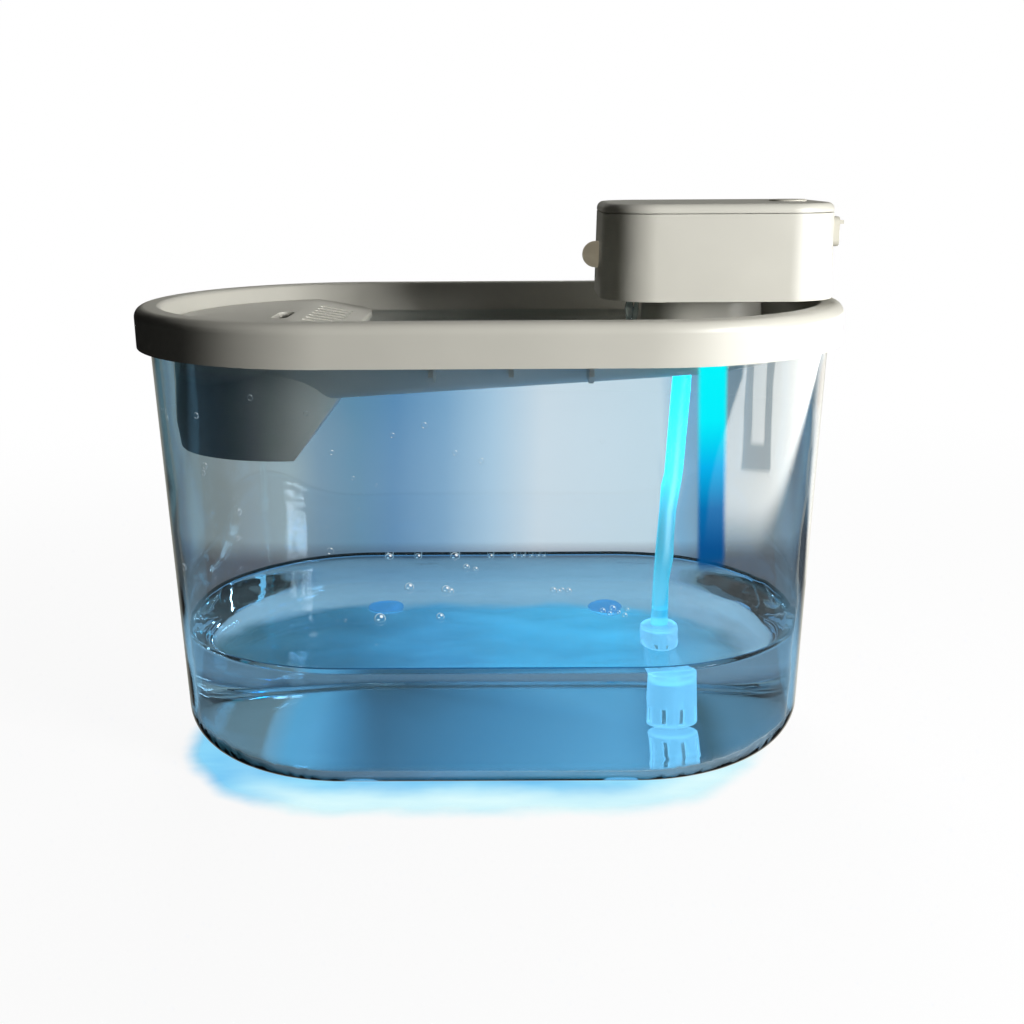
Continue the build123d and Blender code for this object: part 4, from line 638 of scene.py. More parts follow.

# %% [markdown]
# ## Plastics
#
# The grey mouldings are ABS with a fine spark-eroded grain: the tool's texture breaks the
# reflection into a soft sheen. Their colour and gloss wander by a hair over a centimetre or
# two. The tray's low left end, where the filter pocket hangs in the tank, carries painted
# shade: it is painted darker, to match how dark it looks there. The tank and the feet are
# polished, so they reflect sharply. The hose, the strainer and the lamp's lens are rough, so
# what lies behind them blurs. Shadow rays don't pass a clear piece that bends light, so hose,
# strainer and feet get a painted glow for the light they carry. The milky lens has a little
# painted glow too, for the light that spreads inside it.


# %% Moulded and clear plastic
GRAIN_SIZE = 0.15
GRAIN_DEPTH = 0.02
GRAIN_STRENGTH = 0.35
CLOUD_SIZE = 18.0
CLOUD_RANGE = (0.3, 0.7)
MOTTLE = 0.015
GLOSS_SWING = 0.03
MOULDED_IOR = 1.53
POCKET_SHADE = 0.1
POCKET_SHADE_X = (-94.0, -58.0)
POCKET_SHADE_Z = (138.0, 149.0)


def pocket_shade(tree, place):
    """Painted shade: 1 in the open, and less at the low left end that hangs in the tank."""
    at = parts(tree, place)
    by_x = ease(tree, at["X"], POCKET_SHADE_X[0] * MM, POCKET_SHADE_X[1] * MM, POCKET_SHADE)
    by_z = ease(tree, at["Z"], POCKET_SHADE_Z[0] * MM, POCKET_SHADE_Z[1] * MM)
    return sums(tree, "MAXIMUM", by_x, by_z)


def moulded_plastic(name, colour, roughness, carried=0.0, shaded=False):
    """A moulded plastic: even colour, a fine grain in the surface, slight change in gloss.

    carried is a painted glow for the light that a milky plastic brings round to its shaded side.
    """
    material, tree = new_material(name)
    place = object_place(tree)
    cloud = noise_field(tree, place, CLOUD_SIZE, 3.0)
    shade = span(tree, cloud, *CLOUD_RANGE, 1 - MOTTLE, 1 + MOTTLE)
    if shaded:
        shade = sums(tree, "MULTIPLY", shade, pocket_shade(tree, place))
    tint = put(tree, "ShaderNodeVectorMath", {"operation": "SCALE"}, _0=linear(colour)[:3], Scale=shade)
    gloss = span(tree, cloud, *CLOUD_RANGE, roughness - GLOSS_SWING, roughness + GLOSS_SWING)
    relief = put(tree, "ShaderNodeBump", Strength=GRAIN_STRENGTH, Distance=GRAIN_DEPTH * MM,
                 Height=noise_field(tree, place, GRAIN_SIZE, 1.0))
    body = put(tree, "ShaderNodeBsdfPrincipled", Base_Color=tint, Roughness=gloss, Normal=relief,
               IOR=MOULDED_IOR, Emission_Color=colour, Emission_Strength=carried)
    finish_material(tree, body)
    return material


def clear_body(name, colour, roughness, ior, glow="#000000", strength=0.0, run=None):
    """A clear material: light passes through and picks up its tint.

    glow and strength are a painted glow, the lamp light that it carries. run lets the light and
    the tint change with height: from z, to z (both mm), the strength there and the tint there.
    """
    material, tree = new_material(name)
    tint = colour
    if run:
        from_z, to_z, top_strength, top_colour = run
        rise = ease(tree, parts(tree, object_place(tree))["Z"], from_z * MM, to_z * MM)
        strength = span(tree, rise, to_low=strength, to_high=top_strength)
        tint = mixed(tree, rise, tint, top_colour)
    body = put(tree, "ShaderNodeBsdfPrincipled", Base_Color=tint, Roughness=roughness, IOR=ior,
               Transmission_Weight=1.0, Emission_Color=glow, Emission_Strength=strength)
    finish_material(tree, body)
    return material


# %% [markdown]
# ## Tank plastic
#
# A clear wall gathers light in its edges, so where the wall turns away from the eye it goes
# over, by Layer Weight, to a plain painted tone: painted shade, grey, on the tank's dark side
# and painted light, pale, on its bright side. The lit hose also shows a second time in the round
# end, as a blue band. That image is painted on the front of the wall at a fixed place.


# %% Tank plastic
TANK_IOR = 1.5
EDGE_TURN = (0.80, 0.97)
EDGE_SHARE = 0.9
EDGE_LEFT = "#8f9088"
EDGE_RIGHT = "#dcdbd0"
EDGE_SIDE = (-0.1, 0.1)
BAND_X = 70.0
BAND_LEAN = 0.035
BAND_HALF_WIDTH = 5.4
BAND_SOFT = 2.2
BAND_SHARE = 0.93
BAND_FOOT = 7.0
BAND_TONES = [(80.0, "#064c80"), (90.0, "#095290"), (103.0, "#0670b0"), (117.0, "#04b3ed"),
              (132.0, "#04f0fe"), (165.0, "#04fcfd")]


def tank_plastic(name, colour):
    """Smoky clear plastic with painted light and shade in its edges and one painted band of lamp blue."""
    material, tree = new_material(name)
    clear = put(tree, "ShaderNodeBsdfPrincipled", Base_Color=colour, Roughness=0.0,
                IOR=TANK_IOR, Transmission_Weight=1.0)
    at = parts(tree, object_place(tree))
    turned = put(tree, "ShaderNodeLayerWeight").outputs["Facing"]
    edge = ease(tree, turned, *EDGE_TURN, 0.0, EDGE_SHARE)
    side = span(tree, at["X"], *EDGE_SIDE)
    edge_light = emission(tree, mixed(tree, side, EDGE_LEFT, EDGE_RIGHT))
    body = cross_fade(tree, edge, clear, edge_light)
    low, high = BAND_TONES[0][0], BAND_TONES[-1][0]
    middle = sums(tree, "MULTIPLY_ADD", at["Z"], -BAND_LEAN, (BAND_X + BAND_LEAN * high) * MM)
    away = sums(tree, "ABSOLUTE", sums(tree, "SUBTRACT", at["X"], middle))
    inside = ease(tree, away, (BAND_HALF_WIDTH - BAND_SOFT) * MM, BAND_HALF_WIDTH * MM, BAND_SHARE, 0.0)
    front = sums(tree, "LESS_THAN", at["Y"], 0.0)
    above = ease(tree, at["Z"], low * MM, (low + BAND_FOOT) * MM)
    inside = sums(tree, "MULTIPLY", sums(tree, "MULTIPLY", inside, front), above)
    blue = emission(tree, tone_ramp(tree, sums(tree, "DIVIDE", at["Z"], MM), BAND_TONES))
    finish_material(tree, cross_fade(tree, inside, body, blue))
    return material


# %% Materials by piece
unfinished = set(nodes)
for node in nodes.values():
    node.data.materials.clear()


def finish(pieces, material):
    """Gives these CAD pieces a material."""
    for name in pieces.split():
        nodes[name].data.materials.append(material)
        unfinished.discard(name)


MOULDED = [
    # The shell's ABS again, inside the head, a little darker and duller.
    ("grey_abs_plain_moulded", "#b9b7ac", 0.5, "base_plate battery_cradle"),
    # Nylon with carbon black: near black with a satin light on its edges.
    ("black_nylon_moulded", "#1b1c1d", 0.4, "pump_body pump_plate tact_switch"),
    # Acetal: a slippery white with a rather tight highlight.
    ("white_acetal_moulded", "#ecebe4", 0.3, "drive_gear driven_gear suction_nipple spout_nozzle"),
    # Soft TPE: duller than the shell, so the button and the cover stand off it.
    ("grey_tpe_soft_moulded", "#c2bfb2", 0.62, "mode_button port_cover port_cover_anchor"),
    # Rubber: dark, and with hardly a highlight.
    ("dark_rubber_moulded", "#26282a", 0.7, "base_gasket pump_gasket shaft_seal"),
    # Polypropylene: a cool white, half dull.
    ("white_polypropylene_moulded", "#d8dad6", 0.45, "cartridge_frame"),
    # Zinc on steel, mostly closed in by the head: a plain pale grey coat stands for it.
    ("steel_zinc_plated", "#b4b8bc", 0.3,
     "base_screws pump_screws board_screws motor_shaft idler_pin motor_can usb_socket sensor_can"),
    # Solder mask: deep green with the gloss of a lacquer.
    ("green_solder_mask_printed", "#1f5a3c", 0.35, "control_board sensor_board"),
    # Heat-shrunk sleeve: an even blue skin with a satin highlight.
    ("battery_sleeve_heat_shrunk", "#2d5f8f", 0.4, "battery_cell"),
    # Cut foam: a matt off-white, almost without a highlight.
    ("open_cell_polyurethane_foam_cut", "#e9ecea", 0.9, "strainer_sponge cartridge_media"),
]
for name, colour, roughness, pieces in MOULDED:
    finish(pieces, moulded_plastic(name, colour, roughness))
# Spark-eroded ABS: a soft even sheen that shows the form and hides small marks. The tray's
# pocket end carries painted shade.
finish("drinking_tray filter_cover head_shell top_cap",
       moulded_plastic("grey_abs_fine_grain_moulded", "#cbc9be", 0.42, shaded=True))
# Milky polycarbonate: a warm dome with a little painted glow, so it has no really dark side.
finish("sensor_lens night_light_led",
       moulded_plastic("milky_polycarbonate_moulded", "#c4b9a2", 0.3, carried=0.28))
# Polished SAN: sharp reflections, and a cool hint of smoke in what lies behind.
finish("tank", tank_plastic("smoky_clear_san_polished_moulded", "#eaf2f7"))
# Clear silicone: it hardly bends the light, and a painted blue glow for the light they carry
# makes the wet feet show as soft pale blue pads.
finish("foot_front_left foot_front_right foot_back_left foot_back_right",
       clear_body("clear_silicone_moulded", "#f2fafc", 0.0, 1.08, "#5a9cc6", 0.42))
# Clear polycarbonate, frosted: what lies behind it blurs.
finish("night_light_lens", clear_body("clear_polycarbonate_moulded", "#d9eef7", 0.3, 1.58))
# Translucent polypropylene: a frosted cup with a painted pale blue glow for the light of the
# water round it.
finish("strainer_cap strainer_cup",
       clear_body("translucent_polypropylene_moulded", "#d5ecf2", 0.35, 1.49, "#93d2f2", 0.34))
# Extruded silicone with a painted glow: it pipes the lamp's blue down from the head and loses
# it on the way.
hose_curve.materials.append(clear_body("translucent_silicone_extruded", "#cfeef6", 0.35, 1.41,
                                       "#02dcff", 0.25, run=(74, 150, 2.4, "#30c8ff")))
print("pieces without a finish:", sorted(unfinished), "(the hose is drawn anew)")

# %% [markdown]
# ## Water in the tank
#
# The water has to fit the tank's rounded inside. Instead of drawing it again, level rays from
# the middle measure the CAD tank's inner wall, and the water stops a hair inside it. That thin
# gap is what lets a ray leave the plastic and enter the water as two clean surfaces. Its
# top carries a raised edge where it wets the wall and a slow ripple.

# %% Outline of a long round-ended plan
WATER_LEVEL = 46.0
WATER_GAP = 0.2
OUTLINE_POINTS = 168


def stadium(half_length, half_depth, count):
    """Evenly spaced points and outward normals of an outline with half-round ends."""
    straight = half_length - half_depth
    half = 2 * straight + math.pi * half_depth
    found = []
    for k in range(count):
        turn, s = divmod(2 * half * k / count, half)
        side = -1.0 if turn else 1.0  # the second half is the first, turned half round
        x, y, n = straight - s, half_depth, (0.0, 1.0)
        if s >= 2 * straight:
            a = math.pi / 2 + (s - 2 * straight) / half_depth
            n = (math.cos(a), math.sin(a))
            x, y = -straight + half_depth * n[0], half_depth * n[1]
        found.append(((side * x, side * y), (side * n[0], side * n[1])))
    return found


def surface_of(node):
    """A search tree of a CAD node's surface, for measuring with rays."""
    return BVHTree.FromObject(node, bpy.context.evaluated_depsgraph_get())


tank_surface = surface_of(nodes["tank"])
tank_mid = Vector((0, 0, WATER_LEVEL * MM))
tank_floor = tank_surface.ray_cast(tank_mid, Vector((0, 0, -1)))[0].z
wall_x = tank_surface.ray_cast(tank_mid, Vector((1, 0, 0)))[0].x
wall_y = tank_surface.ray_cast(tank_mid, Vector((0, 1, 0)))[0].y
print("inside at the water line:", round(wall_x / MM, 1), round(wall_y / MM, 1), "mm")


# %% Water body
WATER_IOR = 1.333
BODY_RISES = [0.0, 0.3, 0.9, 1.9, 3.4, 5.4, 7.8, 10.6, 16.0, 24.0, 32.0]
MENISCUS_HEIGHT = 2.6
MENISCUS_WIDTH = 1.7
INSET_STEPS = (0.5, 2.2)  # close rings where the edge curves up, wide ones further in
INSET_CLOSE_TO = 3
CALM_WIDTH = 6
SWELL = (0.35, 16)
SMALL_WAVE_LENGTH = 0.4
SMALL_WAVE_HEIGHT = 0.35
DOUBLE_WITHIN = 0.002
SLIVER_UNDER = 0.001


def skin_rings(work, rings):
    """Joins each ring of bmesh vertices to the next with quads."""
    count = len(rings[0])
    for low, high in zip(rings, rings[1:]):
        for k in range(count):
            work.faces.new((low[k], low[(k + 1) % count], high[(k + 1) % count], high[k]))


def close_mesh(work, name):
    """Merges doubles, turns the faces outwards and shades them smooth."""
    bmesh.ops.remove_doubles(work, verts=work.verts, dist=DOUBLE_WITHIN * MM)
    bmesh.ops.dissolve_degenerate(work, edges=work.edges, dist=SLIVER_UNDER * MM)
    bmesh.ops.recalc_face_normals(work, faces=work.faces)
    for face in work.faces:
        face.smooth = True
    mesh = bpy.data.meshes.new(name)
    work.to_mesh(mesh)
    work.free()
    return mesh


def ripple(x, y, height, length):
    """A slow irregular swell, in metres."""
    wave = noise.noise(Vector((x / (length * MM), y / (length * MM), 3.7)))
    length *= SMALL_WAVE_LENGTH
    small = noise.noise(Vector((x / (length * MM), y / (length * MM), 9.1)))
    return height * MM * (wave + SMALL_WAVE_HEIGHT * small)


def wall_ring(work, z, gap=0.0):
    """A ring of vertices round the tank's inner wall at a height, this far inside it."""
    ring = []
    for (x, y), n in outline:
        hit = tank_surface.ray_cast(Vector((0, 0, z)), Vector((x, y, 0)).normalized())[0]
        ring.append(work.verts.new(hit - Vector((*n, 0)) * gap))
    return ring


outline = stadium(wall_x, wall_y, OUTLINE_POINTS)
work = bmesh.new()
rings = []
for rise in BODY_RISES + [WATER_LEVEL - tank_floor / MM]:
    z = min(tank_floor + (WATER_GAP + rise) * MM, WATER_LEVEL * MM)
    rings.append(wall_ring(work, z, WATER_GAP * MM))
edge_ring = [v.co.copy() for v in rings[-1]]
inset = 0.0
insets = []
while inset < wall_y / MM:
    insets.append(inset)
    inset += INSET_STEPS[0] if inset < INSET_CLOSE_TO else INSET_STEPS[1]
insets.append(wall_y / MM - WATER_GAP)
for inset in insets:
    rise = MENISCUS_HEIGHT * math.exp(-inset / MENISCUS_WIDTH) * MM
    calm = min(1.0, inset / CALM_WIDTH)
    ring = []
    for edge, (_, n) in zip(edge_ring, outline):
        x = edge.x - n[0] * inset * MM
        y = edge.y - n[1] * inset * MM
        ring.append(work.verts.new((x, y, WATER_LEVEL * MM + rise + calm * ripple(x, y, *SWELL))))
    rings.append(ring)
skin_rings(work, rings)
work.faces.new(rings[0])

# Still water: mirror smooth. In the tank its tint is painted light, the lamp's blue; in the bowl
# hardly a tint.
water_blue = clear_body("water_lit_blue", "#a9d8f2", 0.0, WATER_IOR)
water_clear = clear_body("water_clear", "#dfeff5", 0.0, WATER_IOR)
tank_water = object_from(close_mesh(work, "tank_water"), water_blue)
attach(tank_water, "tank_body")
print("tank water faces:", len(tank_water.data.polygons))

# %% [markdown]
# ## Water in the bowl
#
# The bowl's water fills from the weir to the far end and flows round the pedestal. Its outline
# is measured on the tray in the same way, a little way into the wall, and rays straight down
# find the bowl's floor under every point, so it follows the moulded corners. Rings spread from
# where the stream lands.

# %% Bowl water
BOWL_LEVEL = 153.1
BOWL_MARGINS = (14, 19)
WALL_OVERLAP = 0.7
SHORE_POINTS = 220
SHORE_START = 10
SHORE_CENTRE = 50
PEDESTAL_X = 76.1
ISLAND_POINTS = 96
ISLAND_START = (34, 30)
WEIR_X = -50.8
WEIR_POINTS = 40
STREAM_X = 50.2

tray_surface = surface_of(nodes["drinking_tray"])
tray_high = Vector(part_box("drinking_tray")[1])
bowl_half_length = tray_high.x - BOWL_MARGINS[0] * MM
bowl_half_depth = tray_high.y - BOWL_MARGINS[1] * MM
level = BOWL_LEVEL * MM


def bank_at(origin, way):
    """Where a level ray meets the tray, in the plan, and a little further on."""
    hit = tray_surface.ray_cast(Vector((*origin, level)), Vector((*way, 0)))[0]
    return hit.xy + Vector(way) * WALL_OVERLAP * MM


shore = []
for (x, y), n in stadium(bowl_half_length, bowl_half_depth, SHORE_POINTS):
    place = bank_at((x - n[0] * SHORE_START * MM, y - n[1] * SHORE_START * MM), n)
    if place.x > WEIR_X * MM:
        shore.append(place)
shore.sort(key=lambda p: math.atan2(p.y, p.x + SHORE_CENTRE * MM))
pedestal_middle = Vector((PEDESTAL_X, 0)) * MM
island = []
for k in range(ISLAND_POINTS):
    a = 2 * math.pi * k / ISLAND_POINTS
    origin = pedestal_middle + Vector((math.cos(a) * ISLAND_START[0], math.sin(a) * ISLAND_START[1])) * MM
    island.append(bank_at(origin, (pedestal_middle - origin).normalized()))
for label, bank in (("shore", shore), ("island", island)):
    xs = [p.x / MM for p in bank]
    print(label, len(bank), "points, x from", round(min(xs), 1), "to", round(max(xs), 1))


# %% Bowl water, its surface points
RING_LENGTH = 5.2
RING_HEIGHT = 0.32
RING_REACH = 16.0
RING_START = 2
RINGS_TO = 17
RINGS_GRID = 1.0
BOWL_GRID = 2.6
BOWL_SPAN = (170, 130)
JITTER = 0.2
BANK_CLEAR = 0.6
CLOSE_ENOUGH = 1e-7


def ring_wave(distance):
    """Height of the rings that spread from the stream, in metres."""
    fade = math.exp(-distance / (RING_REACH * MM)) * min(1.0, distance / (RING_START * MM))
    return RING_HEIGHT * MM * math.cos(2 * math.pi * distance / (RING_LENGTH * MM)) * fade


def inside_loop(point, loop):
    """True if a plan point lies inside a closed loop of plan points."""
    odd = False
    for a, b in zip(loop, loop[1:] + loop[:1]):
        if (a.y > point.y) != (b.y > point.y):
            if point.x < a.x + (point.y - a.y) * (b.x - a.x) / (b.y - a.y):
                odd = not odd
    return odd


weir = []
for k in range(1, WEIR_POINTS):
    share = k / WEIR_POINTS
    weir.append(Vector((shore[-1].x, shore[-1].y * (1 - share) + shore[0].y * share)))
shore_loop = shore + weir
banks = kdtree.KDTree(len(shore) + len(island))
for k, place in enumerate(shore + island):
    banks.insert((*place, 0), k)
banks.balance()
stream_foot = Vector((STREAM_X * MM, 0))
shaker = random.Random(11)
open_water = []


def sprinkle(step, keep):
    """Adds jittered grid points where keep says so, clear of the banks."""
    for i in range(int(BOWL_SPAN[0] * MM / step)):
        for j in range(int(BOWL_SPAN[1] * MM / step)):
            x = WEIR_X * MM + (i + 0.5 + shaker.uniform(-JITTER, JITTER)) * step
            y = -BOWL_SPAN[1] / 2 * MM + (j + 0.5 + shaker.uniform(-JITTER, JITTER)) * step
            place = Vector((x, y))
            near = banks.find((x, y, 0))[2]
            if near < BANK_CLEAR * step or x < WEIR_X * MM + step or not keep(place):
                continue
            if inside_loop(place, shore_loop) and not inside_loop(place, island):
                open_water.append(place)


sprinkle(BOWL_GRID * MM, lambda p: (p - stream_foot).length > RINGS_TO * MM)
sprinkle(RINGS_GRID * MM, lambda p: (p - stream_foot).length <= RINGS_TO * MM)

plan = shore_loop + island + open_water
n_shore, n_island = len(shore_loop), len(island)
bounds_edges = [(k, (k + 1) % n_shore) for k in range(n_shore)]
bounds_edges += [(n_shore + k, n_shore + (k + 1) % n_island) for k in range(n_island)]
flat_points, _, flat_faces, *_ = geometry.delaunay_2d_cdt(plan, bounds_edges, [], 4, CLOSE_ENOUGH)
print("bowl water plan:", len(flat_points), "points,", len(flat_faces), "triangles")

# %% Bowl water, closed body
BANK_RISE = 0.7
BANK_WIDTH = 1.4
BOWL_SWELL = (0.16, 14)
BED_RAY_FROM = 1.5
BED_OVERLAP = 0.5


def bowl_surface_z(place):
    """Height of the bowl's water at a plan point."""
    bank = banks.find((*place, 0))[2] / MM
    lift = BANK_RISE * math.exp(-bank / BANK_WIDTH) * MM
    return level + lift + ring_wave((place - stream_foot).length) + ripple(place.x, place.y, *BOWL_SWELL)


def bowl_bed_z(place):
    """Height just under the bowl's floor at a plan point."""
    hit = tray_surface.ray_cast(Vector((*place, level + BED_RAY_FROM * MM)), Vector((0, 0, -1)))[0]
    bed = hit.z if hit is not None else level
    return min(bed, level) - BED_OVERLAP * MM


work = bmesh.new()
tops = [work.verts.new((*p, bowl_surface_z(p))) for p in flat_points]
beds = [work.verts.new((*p, bowl_bed_z(p))) for p in flat_points]
for face in flat_faces:
    work.faces.new([tops[k] for k in face])
    work.faces.new([beds[k] for k in reversed(face)])
rim_edges = [edge for edge in work.edges if len(edge.link_faces) == 1]
below = dict(zip(tops, beds))
for edge in rim_edges:
    a, b = edge.verts
    if a in below and b in below:
        work.faces.new((a, b, below[b], below[a]))
bowl_water = object_from(close_mesh(work, "bowl_water"), water_clear)
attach(bowl_water, "tray")
print("bowl water faces:", len(bowl_water.data.polygons))

# %% [markdown]
# ## The running stream
#
# The pump pours a short stream from the nozzle under the head. It leaves as two strands that
# lean towards each other and meet in the bowl. Each strand is a thin closed tube whose width
# swells and narrows.

# %% Stream
NOZZLE_TIP_Z = 165.8
STREAM_SINK = 1.0
STRANDS = [
    ((50.4, -0.6), (50.2, -0.4), 1.25),
    ((51.6, -0.4), (53.4, -0.8), 0.9),
]
STRAND_RINGS = 26
STRAND_SIDES = 14
STRAND_DEPTH = 0.75
SWAY = (0.12, 9)
FLARE = (1.3, 9)
THROB = (0.16, 13)


def strand(work, foot, head, radius):
    """A thin wavy tube of water from the bowl up to the nozzle."""
    rings = []
    for k in range(STRAND_RINGS + 1):
        t = k / STRAND_RINGS
        z = (BOWL_LEVEL - STREAM_SINK) * (1 - t) + NOZZLE_TIP_Z * t
        x = foot[0] + (head[0] - foot[0]) * t + SWAY[0] * math.sin(SWAY[1] * t)
        y = foot[1] + (head[1] - foot[1]) * t
        wide = radius * (1 + THROB[0] * math.sin(THROB[1] * t + foot[0]))
        wide += FLARE[0] * math.exp(-t * FLARE[1])
        ring = []
        for j in range(STRAND_SIDES):
            a = 2 * math.pi * j / STRAND_SIDES
            ring.append(work.verts.new((
                (x + wide * math.cos(a)) * MM,
                (y + STRAND_DEPTH * wide * math.sin(a)) * MM,
                z * MM,
            )))
        rings.append(ring)
    skin_rings(work, rings)
    work.faces.new(rings[0])
    work.faces.new(rings[-1])


work = bmesh.new()
for foot, head, radius in STRANDS:
    strand(work, foot, head, radius)
stream = object_from(close_mesh(work, "stream"), water_clear)
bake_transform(stream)
print("stream faces:", len(stream.data.polygons))

# %% [markdown]
# ## Drops and bubbles
#
# Drops cling to the inside of the tank above the water, and small bubbles float on it, in a row
# along the back wall and in loose groups. Each kind repeats one shape, which Geometry Nodes sets. For
# the drops, points are spread with a fixed seed over a copy of the measured wall, thickest low
# down and at the left, and a flattened icosphere is turned to the wall on each. The bubbles are
# small spheres at listed places, each with its own size. The result is realised into a mesh.


# %% Scatter trees
DROP_POWER = 3.0  # most drops are small


def set_on_points(tree, points, shape, material, **inputs):
    """Ends a tree: a shape on each point, made real, smooth and given its material."""
    placed = put(tree, "GeometryNodeInstanceOnPoints", Points=points, Instance=shape, **inputs)
    real = put(tree, "GeometryNodeRealizeInstances", Geometry=placed)
    smooth = put(tree, "GeometryNodeSetShadeSmooth", Geometry=real)
    painted = put(tree, "GeometryNodeSetMaterial", Geometry=smooth, Material=material)
    put(tree, "NodeGroupOutput", Geometry=painted)
    return tree


def attribute(tree, name):
    """A number that the base mesh's points carry."""
    return put(tree, "GeometryNodeInputNamedAttribute", {"data_type": "FLOAT"}, Name=name)


def scatter_tree(name, material):
    """Flattened beads scattered on a surface: density, size range and seed are inputs."""
    tree, start = geometry_tree(name, Density=900.0, Smallest=0.2 * MM, Largest=1.0 * MM,
                                Flatness=0.45, Seed=5)
    density = sums(tree, "MULTIPLY", start["Density"], attribute(tree, "wet"))
    points = put(tree, "GeometryNodeDistributePointsOnFaces", {"distribute_method": "RANDOM"},
                 Mesh=start["Geometry"], Seed=start["Seed"], Density=density)
    size = put(tree, "FunctionNodeRandomValue", {"data_type": "FLOAT"}, Seed=start["Seed"])
    skew = sums(tree, "POWER", size.outputs[1], DROP_POWER)
    wide = span(tree, skew, to_low=start["Smallest"], to_high=start["Largest"])
    flat = sums(tree, "MULTIPLY", wide, start["Flatness"])
    bead = put(tree, "GeometryNodeMeshIcoSphere", Radius=1.0, Subdivisions=2)
    return set_on_points(tree, points, bead, material, Rotation=points.outputs["Rotation"],
                         Scale=put(tree, "ShaderNodeCombineXYZ", X=wide, Y=wide, Z=flat))


def dot_tree(name, material):
    """A round bubble on each vertex, as large as its radius attribute says."""
    tree, start = geometry_tree(name)
    ball = put(tree, "GeometryNodeMeshUVSphere", Segments=14, Rings=8, Radius=1.0)
    return set_on_points(tree, start["Geometry"], ball, material, Scale=attribute(tree, "radius"))


def grow(base, name, tree, **values):
    """Runs a Geometry Nodes tree on a base object and returns the plain result."""
    modifier = base.modifiers.new(name, "NODES")
    modifier.node_group = tree
    for item in tree.interface.items_tree:
        if item.item_type == "SOCKET" and item.in_out == "INPUT" and item.name in values:
            modifier[item.identifier] = values[item.name]
    bpy.context.view_layer.update()
    evaluated = base.evaluated_get(bpy.context.evaluated_depsgraph_get())
    mesh = bpy.data.meshes.new_from_object(evaluated)
    mesh.name = name
    made = object_from(mesh)
    bpy.data.objects.remove(base)
    return made


# %% Skin of drops and bubbles
GLINT_WAY = Vector((0.35, -0.6, 0.7)).normalized()[:]
BEAD_RIM = (0.3, 0.8)
BEAD_RIM_SHARE = 0.85
BEAD_SIDE = (-0.1, 0.55)
BEAD_SPOT = (0.93, 0.985)
BEAD_GLINT = 1.1


def bead_skin(name, dark, bright):
    """A clear bead: a painted ring, dark on one side and lit on the other, and one painted glint."""
    material, tree = new_material(name)
    turned = put(tree, "ShaderNodeLayerWeight").outputs["Facing"]
    rim = ease(tree, turned, *BEAD_RIM, 0.0, BEAD_RIM_SHARE)
    lit = dot(tree, put(tree, "ShaderNodeNewGeometry").outputs["Normal"], GLINT_WAY)
    ring = emission(tree, mixed(tree, ease(tree, lit, *BEAD_SIDE), dark, bright))
    bead = cross_fade(tree, rim, put(tree, "ShaderNodeBsdfTransparent"), ring)
    glint = emission(tree, WHITE, BEAD_GLINT)
    finish_material(tree, cross_fade(tree, ease(tree, lit, *BEAD_SPOT), bead, glint))
    return material


# Water beaded on plastic: a lens with a painted bright edge, a painted dark edge and a painted
# glint, which reads as wet.
drop_film = bead_skin("water_drop_film", "#34505f", "#dfeff7")
# Air under a film of water: the same painted ring, bluer, since it lies in the lit water.
bubble_film = bead_skin("air_bubble_film", "#2f556c", "#ddf1fb")

# %% Drops on the wall
DROPS_FROM = WATER_LEVEL + 2.5
DROPS_TO = 146.0
WALL_RINGS = 24
PATCH_SIZE = 17
PATCH_LIFT = 0.15
LOW_FADE = 22
WET_SHARES = (0.25, 0.8, 1.3)  # everywhere, low down, at the left
DROP_SEED = 8


def wetness(place):
    """How thickly the drops sit at a place on the wall."""
    low = math.exp(-(place.z / MM - DROPS_FROM) / LOW_FADE)
    left = max(0.0, -place.x / wall_x)
    patch = max(0.0, noise.noise(place / (PATCH_SIZE * MM)) + PATCH_LIFT)
    return patch * (WET_SHARES[0] + WET_SHARES[1] * low + WET_SHARES[2] * left)


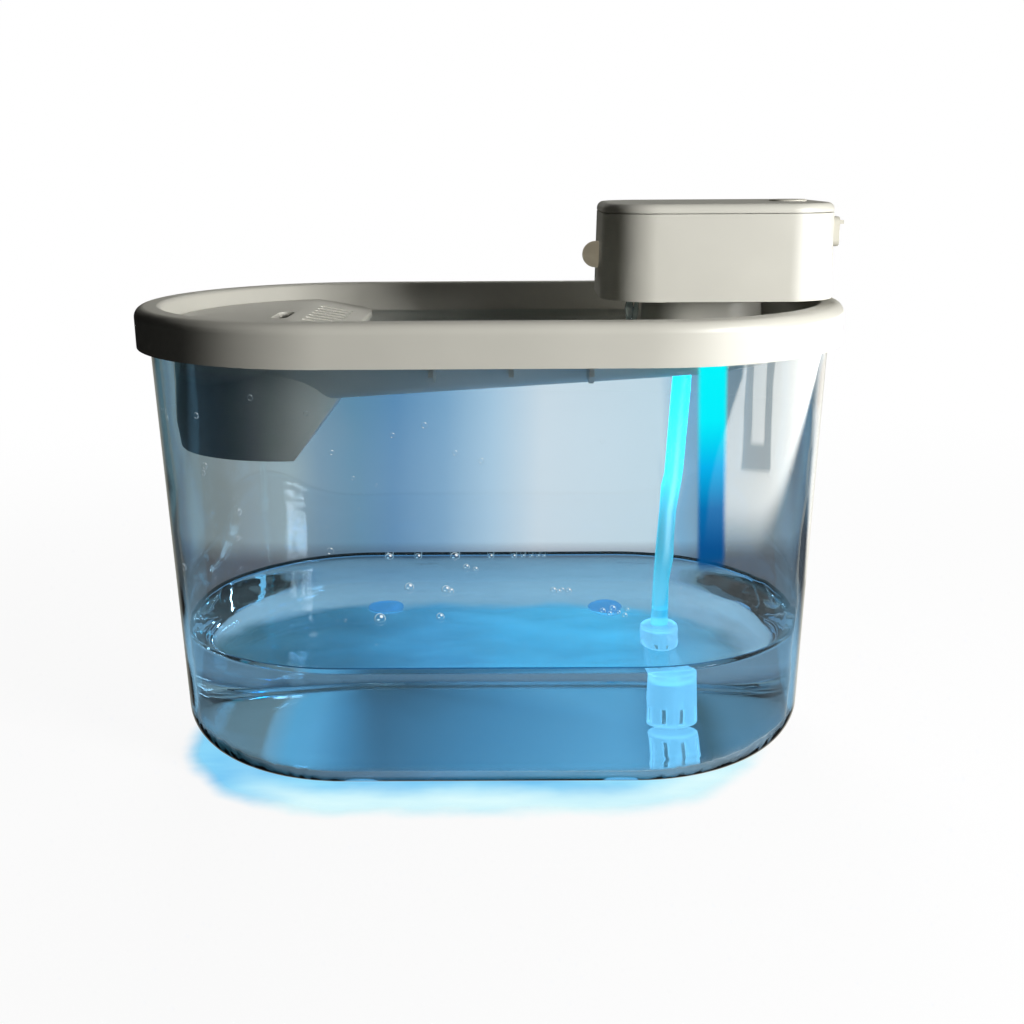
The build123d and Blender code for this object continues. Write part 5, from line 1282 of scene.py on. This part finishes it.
work = bmesh.new()
step = (DROPS_TO - DROPS_FROM) / (WALL_RINGS - 1)
skin_rings(work, [wall_ring(work, (DROPS_FROM + step * k) * MM) for k in range(WALL_RINGS)])
for face in work.faces:
    face.normal_update()
    if face.normal.xy.dot(face.calc_center_median().xy) > 0:
        face.normal_flip()
wall_mesh = bpy.data.meshes.new("wet_wall")
work.to_mesh(wall_mesh)
work.free()
carry(wall_mesh, "wet", [wetness(vert.co) for vert in wall_mesh.vertices])
wet_wall = object_from(wall_mesh)
drops = grow(wet_wall, "wall_drops", scatter_tree("scatter_drops", drop_film),
             Density=11000.0, Smallest=0.2 * MM, Largest=1.5 * MM, Flatness=0.4, Seed=DROP_SEED)
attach(drops, "tank_body")
print("wall drops faces:", len(drops.data.polygons))

# %% Bubbles on the water line
BUBBLES = [
    (-46, 63.6, 1.5), (-33.5, 64.0, 1.3), (-17.5, 63.8, 1.7), (-2, 64.1, 1.2), (8, 63.9, 1.1),
    (12, 64.2, 0.9), (15.5, 64.0, 0.8), (18.5, 64.2, 0.8), (21, 64.1, 0.7), (-12, 50.0, 1.1),
    (-8, 47.0, 0.9), (-34, 24.0, 1.5), (-19, 21.0, 1.4), (-17, 19.5, 1.0), (-42, -12.0, 1.7),
    (-19.5, -10.0, 1.2), (24, 20.0, 1.0), (26, 18.5, 0.8), (27.5, 20.5, 0.7), (30, 19.0, 1.0),
    (42, -4.0, 0.9), (44.5, -7.0, 0.7), (46, -1.5, 1.0), (48, -5.5, 0.6), (50, -9.0, 0.8),
    (51.5, -3.0, 0.6),
]
BUBBLE_SCALE = 1.3
BUBBLE_RISE = 0.3

dots = bpy.data.meshes.new("bubble_places")
dots.from_pydata([(x * MM, y * MM, (WATER_LEVEL + BUBBLE_RISE) * MM) for x, y, _ in BUBBLES], [], [])
carry(dots, "radius", [BUBBLE_SCALE * radius * MM for _, _, radius in BUBBLES])
bubble_places = object_from(dots)
bubbles = grow(bubble_places, "water_bubbles", dot_tree("set_bubbles", bubble_film))
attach(bubbles, "tank_body")
print("bubbles:", len(BUBBLES))
